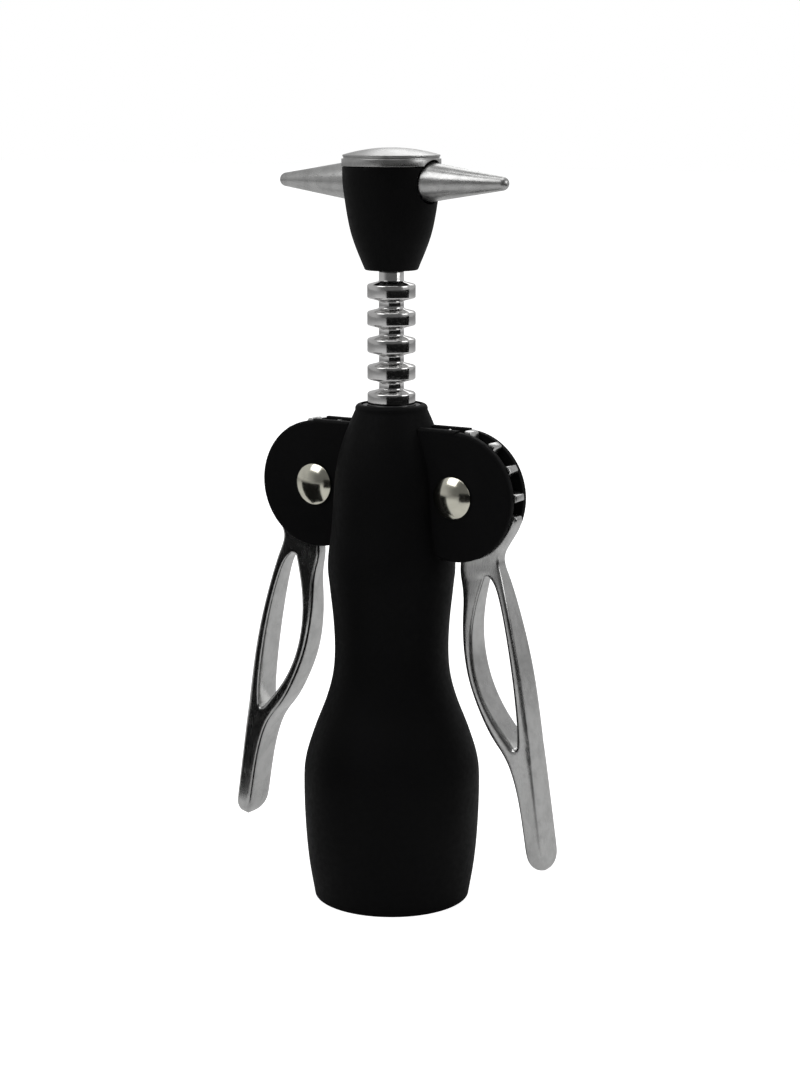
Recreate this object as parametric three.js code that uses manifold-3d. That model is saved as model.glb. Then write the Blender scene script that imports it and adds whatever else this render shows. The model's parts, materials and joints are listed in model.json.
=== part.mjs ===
/**
 * Wing corkscrew: a bell that seats on a bottle, a worm on a turning knob, a ringed rack,
 * and two geared levers that draw the rack up as they are pressed down.
 *
 * Millimetres, +Z up. The origin is the centre of the bell's bottom rim, the lever axles run
 * along Y at X = -PINION_X and +PINION_X, and the levers hang at rest with the rack raised.
 */
import * as THREE from "three";
import { mergeVertices } from "three/addons/utils/BufferGeometryUtils.js";
import Module from "manifold-3d";

const wasm = await Module();
wasm.setup();

// Clearances
const RUN_GAP = 0.1; // a turning or sliding fit, on the radius
const SIDE_GAP = 0.2; // on each side of a pinion in its slot
const SEAT_GAP = 0.15; // between faces that seat on each other
const CUT_GAP = 0.4; // round moving teeth
const BORE_ROOM = 0.45; // round the rack's rings in the casting, beyond the bush
const CUT_PAST = 2; // how far a cutter runs past the face it opens

// Rack and pinions
const RING_PITCH = 6.65;
const RING_COUNT = 10;
const RINGS_BELOW = 2; // below the axles, with the levers down
const RING_THICK = 3.6; // at the pitch radius
const RACK_PITCH_R = 5.38;
const RING_ADDENDUM = 0.57;
const RING_DEDENDUM = 2.3;
const PINION_TEETH = 14; // on a full turn
const TEETH_CUT = 8; // that each lever has
const PINION_ADDENDUM = 1.683;
const PINION_DEDENDUM = 0.917;
const PINION_WIDTH = 4;
const TOOTH_FOOT = 1; // how deep a tooth stands in the pinion
const BACKLASH = 0.35;
const PRESSURE_ANGLE = THREE.MathUtils.degToRad(14.5);
const MESH_ANGLE = THREE.MathUtils.degToRad(3.1); // first tooth below the line of centres
const PINION_Z = 105.1;
const RING_R = RACK_PITCH_R + RING_ADDENDUM;
const RACK_CORE_R = RACK_PITCH_R - RING_DEDENDUM;
const PINION_PITCH_R = (PINION_TEETH * RING_PITCH) / (2 * Math.PI);
const PINION_TIP_R = PINION_PITCH_R + PINION_ADDENDUM;
const PINION_ROOT_R = PINION_PITCH_R - PINION_DEDENDUM;
const PINION_X = RACK_PITCH_R + PINION_PITCH_R;

// Bottle collar, a plastic ring in the bell's mouth
const BOTTLE_LIP_R = 15.75;
const COLLAR_WALL = 1.6;
const COLLAR_LEDGE = 2.95; // that the bottle's lip comes up against
const COLLAR_ROOF = 2;
const COLLAR_RECESS = 0.5;
const COLLAR_LEAD = 0.5; // taper at the collar's foot
const BOTTLE_SEAT_Z = 24;
const COLLAR_R = BOTTLE_LIP_R + COLLAR_WALL;

// Bell and neck, one casting
const RIM_WALL = 2.2; // round the collar
const RIM_EDGE = 0.4;
const BELL_SWELL = 2.6; // from the rim out to the widest part
const BELL_R_Z = 28.5;
const WAIST_R = 14.35;
const WAIST_Z = 64.5;
const SHOULDER_R = 16;
const SHOULDER_Z = 86.5;
const NECK_Z = 109;
const HEAD_ROOM = 0.947; // between an axle's head and the neck's side
const MOUTH_EDGE_R = 1.1;
const MOUTH_WALL = 1.5; // round the guide bush
const BODY_TOP_Z = 126.4;
const CORK_ROOM_STEP = 1.3; // over the collar's rim
const CORK_ROOM_TOP_Z = 38;
const WORM_ROOM_R = 10.8;
const WORM_ROOM_FOOT_Z = 57;
const WORM_ROOM_TOP_Z = 86;
const NECK_ROOM_STEP = 2.6; // out from the rack's bore
const NECK_ROOM_LEAD = 2; // height of the taper from the worm's room into the neck's
const NECK_ROOM_ROOF = 1; // and of the one up to the rack's bore
const BUSH_WALL = 1.3;
const BUSH_SHELF = 5; // under the guide bush
const BUSH_DROP = 0.3; // the bush's top below the neck's
const BUSH_LAND = 1; // between the pinion's slot and the bush
const BELL_RIM_R = COLLAR_R + SEAT_GAP + RIM_WALL;
const BELL_R = BELL_RIM_R + BELL_SWELL;
const CORK_ROOM_R = COLLAR_R + SEAT_GAP - CORK_ROOM_STEP;
const RACK_BORE_R = RING_R + BORE_ROOM;
const NECK_ROOM_R = RACK_BORE_R + NECK_ROOM_STEP;
const BUSH_R = RING_R + RUN_GAP + BUSH_WALL;
const NECK_BORE_R = BUSH_R + SEAT_GAP;
const MOUTH_R = NECK_BORE_R + MOUTH_WALL;

// Ears, the cheeks that carry the axles
const EAR_LAND = 0.5; // the ear's rim inside the tips of the teeth
const EAR_THICK = 8.6;
const EAR_FLAT_RISE = 0.4; // the flat top over the round
const EAR_FLAT_PAST = 0.8; // how far the flat top runs past the axle
const EAR_ROOT = 0.7; // the cheeks' inner ends out from the neck's room
const EAR_BEVEL = 0.6;
const SLOT_START_X = 11.5; // where the slot opens at the ear's top
const EAR_R = PINION_TIP_R - EAR_LAND;
const EAR_FLAT_Z = PINION_Z + EAR_R + EAR_FLAT_RISE;
const EAR_ROOT_X = NECK_ROOM_R + EAR_ROOT;
const SLOT_WIDTH = PINION_WIDTH + 2 * SIDE_GAP;

// Axles
const AXLE_R = 3;
const AXLE_HEAD_STEP = 2.25; // the heads' rims out from the pin
const AXLE_HEAD_HIGH = 2;
const AXLE_HEAD_RIM = 0.4;
const AXLE_TAIL_STEP = 1.1; // the tail in from the pin
const AXLE_TAIL = 1.3;
const AXLE_HEAD_R = AXLE_R + AXLE_HEAD_STEP;
const AXLE_TAIL_R = AXLE_R - AXLE_TAIL_STEP;
const NECK_R = PINION_X - AXLE_HEAD_R - HEAD_ROOM;

// Levers
const LEVER_REACH = 94.5; // axle to tip
const LEVER_REST_ANGLE = THREE.MathUtils.degToRad(15);
const LEVER_SHOULDER = 0.8; // the root's round shoulder over the teeth
const LEVER_ROOT_FROM = THREE.MathUtils.degToRad(60); // either end of that shoulder,
const LEVER_ROOT_TO = THREE.MathUtils.degToRad(23); // out from the lever's centre line
const LEVER_STEM = 0.6; // past the ear's rim to where the handle starts to widen
const LEVER_TIP_WIDE = 9.4;
const LEVER_TIP_THICK = 4.3;
const LEVER_TIP_OUT = 0.15;
const LEVER_ROOT_R = PINION_TIP_R + LEVER_SHOULDER;

// Worm, with its plain shank up through the rack
const WIRE_R = 1.5;
const WORM_HELIX_R = 3.25; // of the wire's centre line
const WORM_PITCH = 9.6;
const WORM_TURNS = 5.5;
const WORM_RUN_IN = 0.8; // turns over which the coil opens out from the shank
const WORM_TIP_Z = 27;
const WORM_POINT = 4;

// Knob, cap and crossbar
const NECK_UNDER_KNOB = 3.2;
const KNOB_FOOT_R = 6.5;
const KNOB_R = 12;
const KNOB_HIGH = 25;
const CAP_LIP = 0.15; // over the knob's side
const CAP_SIDE = 2.8;
const CAP_DOME = 1.6;
const CAP_SPIGOT = 1.1;
const CAP_SPIGOT_WALL = 0.9;
const CAP_ROOF = 1; // under the rim of the dome
const POCKET_R = 5;
const BAR_R = 2.4;
const BAR_DROP = 3.6; // below the knob's top face
const BAR_GRIP = 7; // of the bar inside each handle cone
const BAR_END_ROOM = 0.5;
const BAR_FLAT = 0.5; // depth milled off the bar under the nut
const BAR_FLAT_LONG = 9;
const CONE_R = 5;
const CONE_SUNK = 3; // in from the knob's side
const CONE_COLLAR = 0.8;
const CONE_EDGE = 0.3;
const CONE_TIP_R = 1.7;
const CONE_LONG = 23.6;
const CONE_ROOM = 0.35; // round a cone where it stands in the knob
const NUT_FLATS = 5.5;
const NUT_HIGH = 2.4;
const SHANK_PAST_NUT = 0.6;
const WASHER_R = 4;
const WASHER_THICK = 0.6;
const WASHER_ROOM = 0.3; // round the upper washer in the knob's foot
const RETAINER_HIGH = 3;
const CAP_R = KNOB_R + CAP_LIP;
const CONE_SEAT = KNOB_R - CONE_SUNK;
const CONE_END = CONE_SEAT + CONE_LONG;
const CONE_POCKET_R = CONE_R + CONE_ROOM;

// Heights that follow from the sizes above
const RACK_GAP_Z = PINION_Z - PINION_PITCH_R * MESH_ANGLE;
const TOP_RING_Z = RACK_GAP_Z + (RING_COUNT - RINGS_BELOW - 0.5) * RING_PITCH;
const RACK_TOP_Z = TOP_RING_Z + RING_THICK / 2 + NECK_UNDER_KNOB;
const RACK_FOOT_Z = RACK_GAP_Z - RINGS_BELOW * RING_PITCH;
const KNOB_Z = RACK_TOP_Z + SEAT_GAP;
const KNOB_TOP_Z = KNOB_Z + KNOB_HIGH;
const BAR_Z = KNOB_TOP_Z - BAR_DROP;
const NUT_Z = BAR_Z + BAR_R - BAR_FLAT;

const ROUND = 40; // facets round the large turned pieces
const SMALL = 20; // and round the small ones
const COIL_STEPS = 66; // along the worm

const softBlack = new THREE.MeshStandardMaterial({ color: 0x111112, roughness: 0.6, metalness: 0 });
const satinZinc = new THREE.MeshStandardMaterial({ color: 0xb4b4b2, roughness: 0.3, metalness: 1 });
const brightChrome = new THREE.MeshStandardMaterial({ color: 0xd0d0d2, roughness: 0.12, metalness: 1 });
const warmNickel = new THREE.MeshStandardMaterial({ color: 0xc9c4b0, roughness: 0.15, metalness: 1 });
const steel = new THREE.MeshStandardMaterial({ color: 0x9a9a9c, roughness: 0.35, metalness: 1 });
const plastic = new THREE.MeshStandardMaterial({ color: 0x1c1c1e, roughness: 0.5, metalness: 0 });

/** A closed geometry as a solid that can be joined and cut. */
function solid(geometry) {
  geometry.deleteAttribute("normal");
  geometry.deleteAttribute("uv");
  const merged = mergeVertices(geometry, 1e-4);
  return new wasm.Manifold(
    new wasm.Mesh({
      numProp: 3,
      vertProperties: merged.attributes.position.array,
      triVerts: new Uint32Array(merged.index.array),
    }),
  );
}

/** A named mesh of a solid. */
function piece(name, body, material) {
  const { vertProperties, triVerts } = body.getMesh();
  const geometry = new THREE.BufferGeometry();
  geometry.setAttribute("position", new THREE.BufferAttribute(vertProperties, 3));
  geometry.setIndex(new THREE.BufferAttribute(triVerts, 1));
  geometry.computeVertexNormals();
  const mesh = new THREE.Mesh(geometry, material);
  mesh.name = name;
  return mesh;
}

/** Turned about +Z from [radius, height] points, listed with the material on their left. */
function turnedGeometry(points, facets) {
  const outline = points.map(([r, z]) => new THREE.Vector2(r, z));
  return new THREE.LatheGeometry(outline, facets).rotateX(Math.PI / 2);
}

function turned(points, facets = SMALL) {
  return solid(turnedGeometry(points, facets));
}

/** A plain ring about Z. */
function ring(inner, outer, low, high, facets = SMALL) {
  return turned([[inner, low], [outer, low], [outer, high], [inner, high], [inner, low]], facets);
}

/** A round bar between two points. */
function bar(radius, from, to, facets = SMALL) {
  const start = new THREE.Vector3(...from);
  const along = new THREE.Vector3(...to).sub(start);
  const up = new THREE.Vector3(0, 1, 0);
  const geometry = new THREE.CylinderGeometry(radius, radius, along.length(), facets);
  geometry.translate(0, along.length() / 2, 0);
  geometry.applyQuaternion(new THREE.Quaternion().setFromUnitVectors(up, along.clone().normalize()));
  return solid(geometry.translate(start.x, start.y, start.z));
}

/** An outline drawn in XZ, made thick about Y = 0, with its edges bevelled inside the outline. */
function plate(outline, thickness, bevel = 0) {
  const depth = thickness - 2 * bevel;
  const geometry = new THREE.ExtrudeGeometry(outline, {
    depth,
    curveSegments: 12,
    bevelEnabled: bevel > 0,
    bevelThickness: bevel,
    bevelSize: bevel,
    bevelOffset: -bevel,
    bevelSegments: 2,
  });
  return solid(geometry.translate(0, 0, -depth / 2).rotateX(Math.PI / 2));
}

/** A closed outline with smooth stretches: each stretch is a list of [x, z] points. */
function smoothOutline(stretches, steps) {
  const points = stretches.flatMap((stretch) => {
    const curve = new THREE.SplineCurve(stretch.map(([x, z]) => new THREE.Vector2(x, z)));
    return curve.getPoints(steps);
  });
  return new THREE.Shape(points);
}

/** [radius, height] points on a smooth curve through a few. */
function smoothSide(points, steps) {
  const curve = new THREE.SplineCurve(points.map(([r, z]) => new THREE.Vector2(r, z)));
  return curve.getPoints(steps).map(({ x, y }) => [x, y]);
}

/** [radius, height] points on a quarter round from a side up to a top face. */
function quarterRound(outerR, topZ, edgeR, steps = 3) {
  return Array.from({ length: steps + 1 }, (_, i) => {
    const turn = (i / steps) * (Math.PI / 2);
    return [outerR - edgeR * (1 - Math.cos(turn)), topZ - edgeR * (1 - Math.sin(turn))];
  });
}

// ---- Body: bell, waist, neck and ears ----

/** Points part-way between two [radius, height] points, by their shares of height and radius. */
function partWay([fromR, fromZ], [toR, toZ], shares) {
  return shares.map(([high, wide]) => [fromR + wide * (toR - fromR), fromZ + high * (toZ - fromZ)]);
}

function bodySide() {
  const rim = [BELL_RIM_R, RIM_EDGE];
  const bell = [BELL_R, BELL_R_Z];
  const waist = [WAIST_R, WAIST_Z];
  const shoulder = [SHOULDER_R, SHOULDER_Z];
  const neck = [NECK_R, NECK_Z];
  const mouth = [MOUTH_R, BODY_TOP_Z - MOUTH_WALL];
  const side = [
    rim,
    ...partWay(rim, bell, [[0.3, 0.54], [0.62, 0.86]]),
    bell,
    ...partWay(bell, waist, [[0.2, 0.05], [0.41, 0.33], [0.64, 0.73], [0.82, 0.94]]),
    waist,
    ...partWay(waist, shoulder, [[0.34, 0.19], [0.72, 0.72]]),
    shoulder,
    ...partWay(shoulder, neck, [[0.45, 0.55]]),
    neck,
    ...partWay(neck, mouth, [[0.45, 0.31], [0.78, 0.7]]),
    mouth,
  ];
  return [[BELL_RIM_R - RIM_EDGE, 0], ...smoothSide(side, 26)];
}

function bodyTurned() {
  const collarTop = BOTTLE_SEAT_Z + COLLAR_ROOF + SEAT_GAP;
  const collarR = COLLAR_R + SEAT_GAP;
  const bushZ = bushFootZ() - SEAT_GAP;
  const shelfFoot = bushZ - BUSH_SHELF;
  const inside = [
    [NECK_BORE_R, BODY_TOP_Z],
    [NECK_BORE_R, bushZ],
    [RACK_BORE_R, bushZ],
    [RACK_BORE_R, shelfFoot],
    [NECK_ROOM_R, shelfFoot - NECK_ROOM_ROOF],
    [NECK_ROOM_R, WORM_ROOM_TOP_Z + NECK_ROOM_LEAD],
    [WORM_ROOM_R, WORM_ROOM_TOP_Z],
    [WORM_ROOM_R, WORM_ROOM_FOOT_Z],
    [CORK_ROOM_R, CORK_ROOM_TOP_Z],
    [CORK_ROOM_R, collarTop],
    [collarR, collarTop],
    [collarR, 0],
  ];
  const outside = [...bodySide(), ...quarterRound(MOUTH_R, BODY_TOP_Z, MOUTH_EDGE_R)];
  return turned([...outside, ...inside, outside[0]], ROUND);
}

/** One ear's outline on the +X side: round about the axle, flat on top back to the neck. */
function earOutline() {
  const from = Math.acos(EAR_FLAT_PAST / EAR_R);
  const to = -Math.PI + Math.acos((PINION_X - EAR_ROOT_X) / EAR_R);
  const outline = new THREE.Shape();
  outline.moveTo(EAR_ROOT_X, EAR_FLAT_Z);
  outline.lineTo(PINION_X + EAR_FLAT_PAST, EAR_FLAT_Z);
  outline.absarc(PINION_X, PINION_Z, EAR_R, from, to, true);
  return outline;
}

function ear() {
  return plate(earOutline(), EAR_THICK, EAR_BEVEL);
}

/** The room the pinion turns in, through the neck's wall to the rack, open at the ear's rim. */
function pinionSlot() {
  const reach = PINION_TIP_R + CUT_GAP;
  const half = SLOT_WIDTH / 2;
  const round = bar(reach, [PINION_X, -half, PINION_Z], [PINION_X, half, PINION_Z], ROUND);
  const high = BODY_TOP_Z - PINION_Z;
  const wide = PINION_X + EAR_R - SLOT_START_X;
  const open = new THREE.BoxGeometry(wide, SLOT_WIDTH, high);
  open.translate(SLOT_START_X + wide / 2, 0, PINION_Z + high / 2);
  return round.add(solid(open));
}

function axleHole() {
  const reach = EAR_THICK;
  return bar(AXLE_R + RUN_GAP, [PINION_X, -reach, PINION_Z], [PINION_X, reach, PINION_Z]);
}

function mirroredX(body) {
  const mesh = body.getMesh();
  const points = mesh.vertProperties.slice();
  const corners = mesh.triVerts.slice();
  for (let i = 0; i < points.length; i += 3) points[i] = -points[i];
  for (let i = 0; i < corners.length; i += 3) {
    [corners[i + 1], corners[i + 2]] = [corners[i + 2], corners[i + 1]];
  }
  return new wasm.Manifold(new wasm.Mesh({ numProp: 3, vertProperties: points, triVerts: corners }));
}

function makeBody() {
  const cut = pinionSlot().add(axleHole());
  const casting = bodyTurned().add(ear()).add(mirroredX(ear()));
  return piece("body", casting.subtract(cut).subtract(mirroredX(cut)), softBlack);
}

// ---- Bottle collar and guide bush ----

function makeBottleCollar() {
  const top = BOTTLE_SEAT_Z + COLLAR_ROOF;
  const holeR = BOTTLE_LIP_R - COLLAR_LEDGE;
  const outline = [
    [BOTTLE_LIP_R + COLLAR_LEAD, COLLAR_RECESS],
    [COLLAR_R, COLLAR_RECESS],
    [COLLAR_R, top],
    [holeR, top],
    [holeR, BOTTLE_SEAT_Z],
    [BOTTLE_LIP_R, BOTTLE_SEAT_Z],
    [BOTTLE_LIP_R + COLLAR_LEAD, COLLAR_RECESS],
  ];
  return piece("bottle_collar", turned(outline, ROUND), plastic);
}

function bushFootZ() {
  const slotIn = PINION_X - NECK_BORE_R;
  const slotTop = PINION_Z + Math.sqrt((PINION_TIP_R + CUT_GAP) ** 2 - slotIn ** 2);
  return slotTop + BUSH_LAND;
}

function makeGuideBush() {
  const bush = ring(RING_R + RUN_GAP, BUSH_R, bushFootZ(), BODY_TOP_Z - BUSH_DROP, ROUND);
  return piece("guide_bush", bush, plastic);
}

// ---- Rack sleeve ----

function makeRack() {
  const slope = Math.tan(PRESSURE_ANGLE);
  const halfAtRim = RING_THICK / 2 - (RING_R - RACK_PITCH_R) * slope;
  const halfAtCore = RING_THICK / 2 + (RACK_PITCH_R - RACK_CORE_R) * slope;
  const bore = WIRE_R + RUN_GAP;
  const outline = [[bore, RACK_FOOT_Z], [RACK_CORE_R, RACK_FOOT_Z]];
  for (let i = 0; i < RING_COUNT; i += 1) {
    const z = TOP_RING_Z - (RING_COUNT - 1 - i) * RING_PITCH;
    outline.push([RACK_CORE_R, z - halfAtCore], [RING_R, z - halfAtRim]);
    outline.push([RING_R, z + halfAtRim], [RACK_CORE_R, z + halfAtCore]);
  }
  outline.push([RACK_CORE_R, RACK_TOP_Z], [bore, RACK_TOP_Z], [bore, RACK_FOOT_Z]);
  return piece("rack_sleeve", turned(outline), brightChrome);
}

// ---- Worm ----

/** The worm's centre line, from the axis at the top out to its coil and down to the point. */
class WormLine extends THREE.Curve {
  getPoint(t, target = new THREE.Vector3()) {
    const turn = -2 * Math.PI * WORM_TURNS * t;
    const out = WORM_HELIX_R * THREE.MathUtils.smoothstep(t * WORM_TURNS, 0, WORM_RUN_IN);
    const z = wormTopZ() - WORM_PITCH * WORM_TURNS * t;
    return target.set(out * Math.cos(turn), out * Math.sin(turn), z);
  }
}

function wormTopZ() {
  return WORM_TIP_Z + WORM_PITCH * WORM_TURNS;
}

function wormPoint(line) {
  const end = line.getPoint(1);
  const along = line.getTangent(1);
  const overlap = 0.05;
  const cone = new THREE.ConeGeometry(WIRE_R, WORM_POINT, 8);
  cone.translate(0, WORM_POINT / 2 - overlap, 0);
  cone.applyQuaternion(new THREE.Quaternion().setFromUnitVectors(new THREE.Vector3(0, 1, 0), along));
  return solid(cone.translate(end.x, end.y, end.z));
}

function makeWorm() {
  const line = new WormLine();
  const section = new THREE.Shape().absarc(0, 0, WIRE_R, 0, 2 * Math.PI);
  const coil = new THREE.ExtrudeGeometry(section, {
    steps: COIL_STEPS,
    curveSegments: 4,
    bevelEnabled: false,
    extrudePath: line,
  });
  const shankTop = NUT_Z + NUT_HIGH + SHANK_PAST_NUT;
  const shank = bar(WIRE_R, [0, 0, wormTopZ() - WIRE_R], [0, 0, shankTop]);
  return piece("worm", solid(coil).add(shank).add(wormPoint(line)), steel);
}

// ---- Rings on the worm's shank ----

function makeShankRings() {
  const bore = WIRE_R + RUN_GAP;
  const lowerTop = RACK_FOOT_Z - SEAT_GAP;
  const lowerFoot = lowerTop - WASHER_THICK;
  const retainerTop = lowerFoot - SEAT_GAP;
  return [
    piece("upper_thrust_washer", ring(bore, WASHER_R, KNOB_Z, KNOB_Z + WASHER_THICK), plastic),
    piece("lower_thrust_washer", ring(bore, WASHER_R, lowerFoot, lowerTop), plastic),
    piece("retaining_collar", ring(bore, WASHER_R, retainerTop - RETAINER_HIGH, retainerTop), steel),
  ];
}

// ---- Knob, cap, crossbar and nut ----

/** The round recesses that the handle cones stand in, through the knob's side and the cap's skirt. */
function conePockets() {
  const pocket = (side) => {
    const floor = side * (CONE_SEAT - SEAT_GAP);
    return bar(CONE_POCKET_R, [floor, 0, BAR_Z], [side * (CAP_R + CUT_PAST), 0, BAR_Z], ROUND);
  };
  return pocket(-1).add(pocket(1));
}

function makeKnob() {
  const bore = WIRE_R + RUN_GAP;
  const recessR = WASHER_R + WASHER_ROOM;
  const recessTop = KNOB_Z + WASHER_THICK + SEAT_GAP;
  const side = smoothSide(
    [
      [KNOB_FOOT_R, KNOB_Z],
      [KNOB_FOOT_R + 0.62 * (KNOB_R - KNOB_FOOT_R), KNOB_Z + 0.36 * KNOB_HIGH],
      [KNOB_FOOT_R + 0.95 * (KNOB_R - KNOB_FOOT_R), KNOB_Z + 0.78 * KNOB_HIGH],
      [KNOB_R, KNOB_TOP_Z],
    ],
    12,
  );
  const inside = [
    [POCKET_R, KNOB_TOP_Z],
    [POCKET_R, BAR_Z],
    [bore, BAR_Z],
    [bore, recessTop],
    [recessR, recessTop],
    [recessR, KNOB_Z],
  ];
  const barHole = bar(BAR_R + RUN_GAP, [-KNOB_R, 0, BAR_Z], [KNOB_R, 0, BAR_Z]);
  const knob = turned([...side, ...inside, side[0]], ROUND).subtract(barHole);
  return piece("knob", knob.subtract(conePockets()), softBlack);
}

function makeKnobCap() {
  const foot = KNOB_TOP_Z + SEAT_GAP;
  const sideTop = foot + CAP_SIDE;
  const domeR = (CAP_R ** 2 + CAP_DOME ** 2) / (2 * CAP_DOME);
  const spigotR = POCKET_R - SEAT_GAP;
  const spigotBoreR = spigotR - CAP_SPIGOT_WALL;
  const domeSteps = 6;
  const dome = Array.from({ length: domeSteps + 1 }, (_, i) => {
    const r = CAP_R * (1 - i / domeSteps);
    return [r, sideTop + CAP_DOME - domeR + Math.sqrt(domeR ** 2 - r ** 2)];
  });
  const outline = [
    [0, sideTop - CAP_ROOF],
    [spigotBoreR, sideTop - CAP_ROOF],
    [spigotBoreR, foot - CAP_SPIGOT],
    [spigotR, foot - CAP_SPIGOT],
    [spigotR, foot],
    [CAP_R, foot],
    ...dome,
  ];
  return piece("knob_cap", turned(outline, ROUND).subtract(conePockets()), satinZinc);
}

function makeCrossbar() {
  const reach = CONE_SEAT + BAR_GRIP;
  const rod = bar(BAR_R, [-reach, 0, BAR_Z], [reach, 0, BAR_Z]);
  const hole = bar(WIRE_R + RUN_GAP, [0, 0, BAR_Z - 2 * BAR_R], [0, 0, BAR_Z + 2 * BAR_R]);
  const flat = new THREE.BoxGeometry(BAR_FLAT_LONG, 2 * BAR_R, BAR_R);
  flat.translate(0, 0, NUT_Z - SEAT_GAP + BAR_R / 2);
  return piece("crossbar", rod.subtract(hole).subtract(solid(flat)), steel);
}

function makeCrossbarNut() {
  const corner = NUT_FLATS / Math.sqrt(3);
  const hex = new THREE.CylinderGeometry(corner, corner, NUT_HIGH, 6).rotateX(Math.PI / 2);
  hex.translate(0, 0, NUT_Z + NUT_HIGH / 2);
  const bore = WIRE_R + RUN_GAP;
  const hole = bar(bore, [0, 0, NUT_Z - CUT_PAST], [0, 0, NUT_Z + NUT_HIGH + CUT_PAST]);
  return piece("crossbar_nut", solid(hex).subtract(hole), steel);
}

/** A handle cone along +X or -X, bored for the crossbar's end. */
function makeHandleCone(name, side) {
  const boreEnd = CONE_SEAT + BAR_GRIP + BAR_END_ROOM;
  const coneFrom = CONE_SEAT + CONE_COLLAR;
  const tipCentre = CONE_END - CONE_TIP_R;
  const slope = Math.asin((CONE_R - CONE_TIP_R) / (tipCentre - coneFrom));
  const tipSteps = 5;
  const tip = Array.from({ length: tipSteps + 1 }, (_, i) => {
    const turn = slope + (i / tipSteps) * (Math.PI / 2 - slope);
    return [CONE_TIP_R * Math.cos(turn), tipCentre + CONE_TIP_R * Math.sin(turn)];
  });
  const outline = [
    [0, boreEnd],
    [BAR_R + RUN_GAP, boreEnd],
    [BAR_R + RUN_GAP, CONE_SEAT],
    [CONE_R - CONE_EDGE, CONE_SEAT],
    [CONE_R, CONE_SEAT + CONE_EDGE],
    [CONE_R, coneFrom],
    ...tip,
  ];
  const geometry = turnedGeometry(outline, SMALL).rotateY((side * Math.PI) / 2);
  return piece(name, solid(geometry.translate(0, 0, BAR_Z)), satinZinc);
}

// ---- Levers: handle, root and pinion teeth ----
// Each lever is drawn about its axle, with its centre line along -Z and +X outwards.

/** Half a tooth's angle at a radius, on involute flanks that run straight in below the base circle. */
function halfToothAngle(radius) {
  const baseR = PINION_PITCH_R * Math.cos(PRESSURE_ANGLE);
  const involute = (angle) => Math.tan(angle) - angle;
  const angleAt = Math.acos(Math.min(1, baseR / radius));
  const halfAtPitch = (RING_PITCH - RING_THICK - BACKLASH) / (2 * PINION_PITCH_R);
  return halfAtPitch + involute(PRESSURE_ANGLE) - involute(angleAt);
}

/** One tooth, pointing at the given angle clockwise from +Z. */
function tooth(angle) {
  const flankSteps = 5;
  const footR = PINION_ROOT_R - TOOTH_FOOT;
  const radii = Array.from({ length: flankSteps + 1 }, (_, i) => {
    return footR + ((PINION_TIP_R - footR) * i) / flankSteps;
  });
  const at = (radius, half) => {
    return new THREE.Vector2(radius * Math.sin(angle + half), radius * Math.cos(angle + half));
  };
  const left = radii.map((radius) => at(radius, -halfToothAngle(radius)));
  const right = radii.map((radius) => at(radius, halfToothAngle(radius))).reverse();
  return plate(new THREE.Shape([...right, ...left].reverse()), PINION_WIDTH);
}

/** The handle seen from the front, by [out, up] points from the axle, run down to the tip and back. */
function handleOutline() {
  const down = (share) => -share * LEVER_REACH;
  const arc = (radius, x, z, from, to) => {
    const turns = [0, 0.25, 0.5, 0.75, 1].map((share) => from + share * (to - from));
    return turns.map((turn) => [x + radius * Math.sin(turn), z - radius * Math.cos(turn)]);
  };
  const tipR = LEVER_TIP_THICK / 2;
  const shoulder = arc(LEVER_ROOT_R, 0, 0, LEVER_ROOT_FROM, LEVER_ROOT_TO);
  const tip = arc(tipR, LEVER_TIP_OUT, tipR - LEVER_REACH, Math.PI / 2, -Math.PI / 2);
  const outer = [
    shoulder.at(-1),
    [7.4, down(0.25)],
    [7.6, down(0.357)],
    [7.3, down(0.476)],
    [6.1, down(0.61)],
    [4.3, down(0.77)],
    tip[0],
  ];
  const inner = [
    tip.at(-1),
    [-0.95, down(0.83)],
    [-0.85, down(0.765)],
    [-1.6, down(0.698)],
    [-5.25, down(0.607)],
    [-7.55, down(0.47)],
    [-6.65, down(0.35)],
    [-4.55, down(0.26)],
    [-3.7, down(0.17)],
  ];
  const insidePinion = [2, -6];
  return smoothOutline([[insidePinion, shoulder[0]], shoulder, outer, tip, inner], 9);
}

/** The long opening through the handle. */
function handleEye() {
  const down = (share) => -share * LEVER_REACH;
  const outer = [
    [3.3, down(0.216)],
    [4.8, down(0.24)],
    [5.5, down(0.3)],
    [5.4, down(0.4)],
    [4.6, down(0.51)],
    [3.2, down(0.615)],
    [1.7, down(0.665)],
  ];
  const inner = [
    [1.2, down(0.66)],
    [-1.5, down(0.612)],
    [-4.15, down(0.54)],
    [-5.15, down(0.45)],
    [-3.8, down(0.355)],
    [-1.1, down(0.285)],
    [1.9, down(0.23)],
    [2.7, down(0.215)],
  ];
  return smoothOutline([outer, inner], 12);
}

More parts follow.
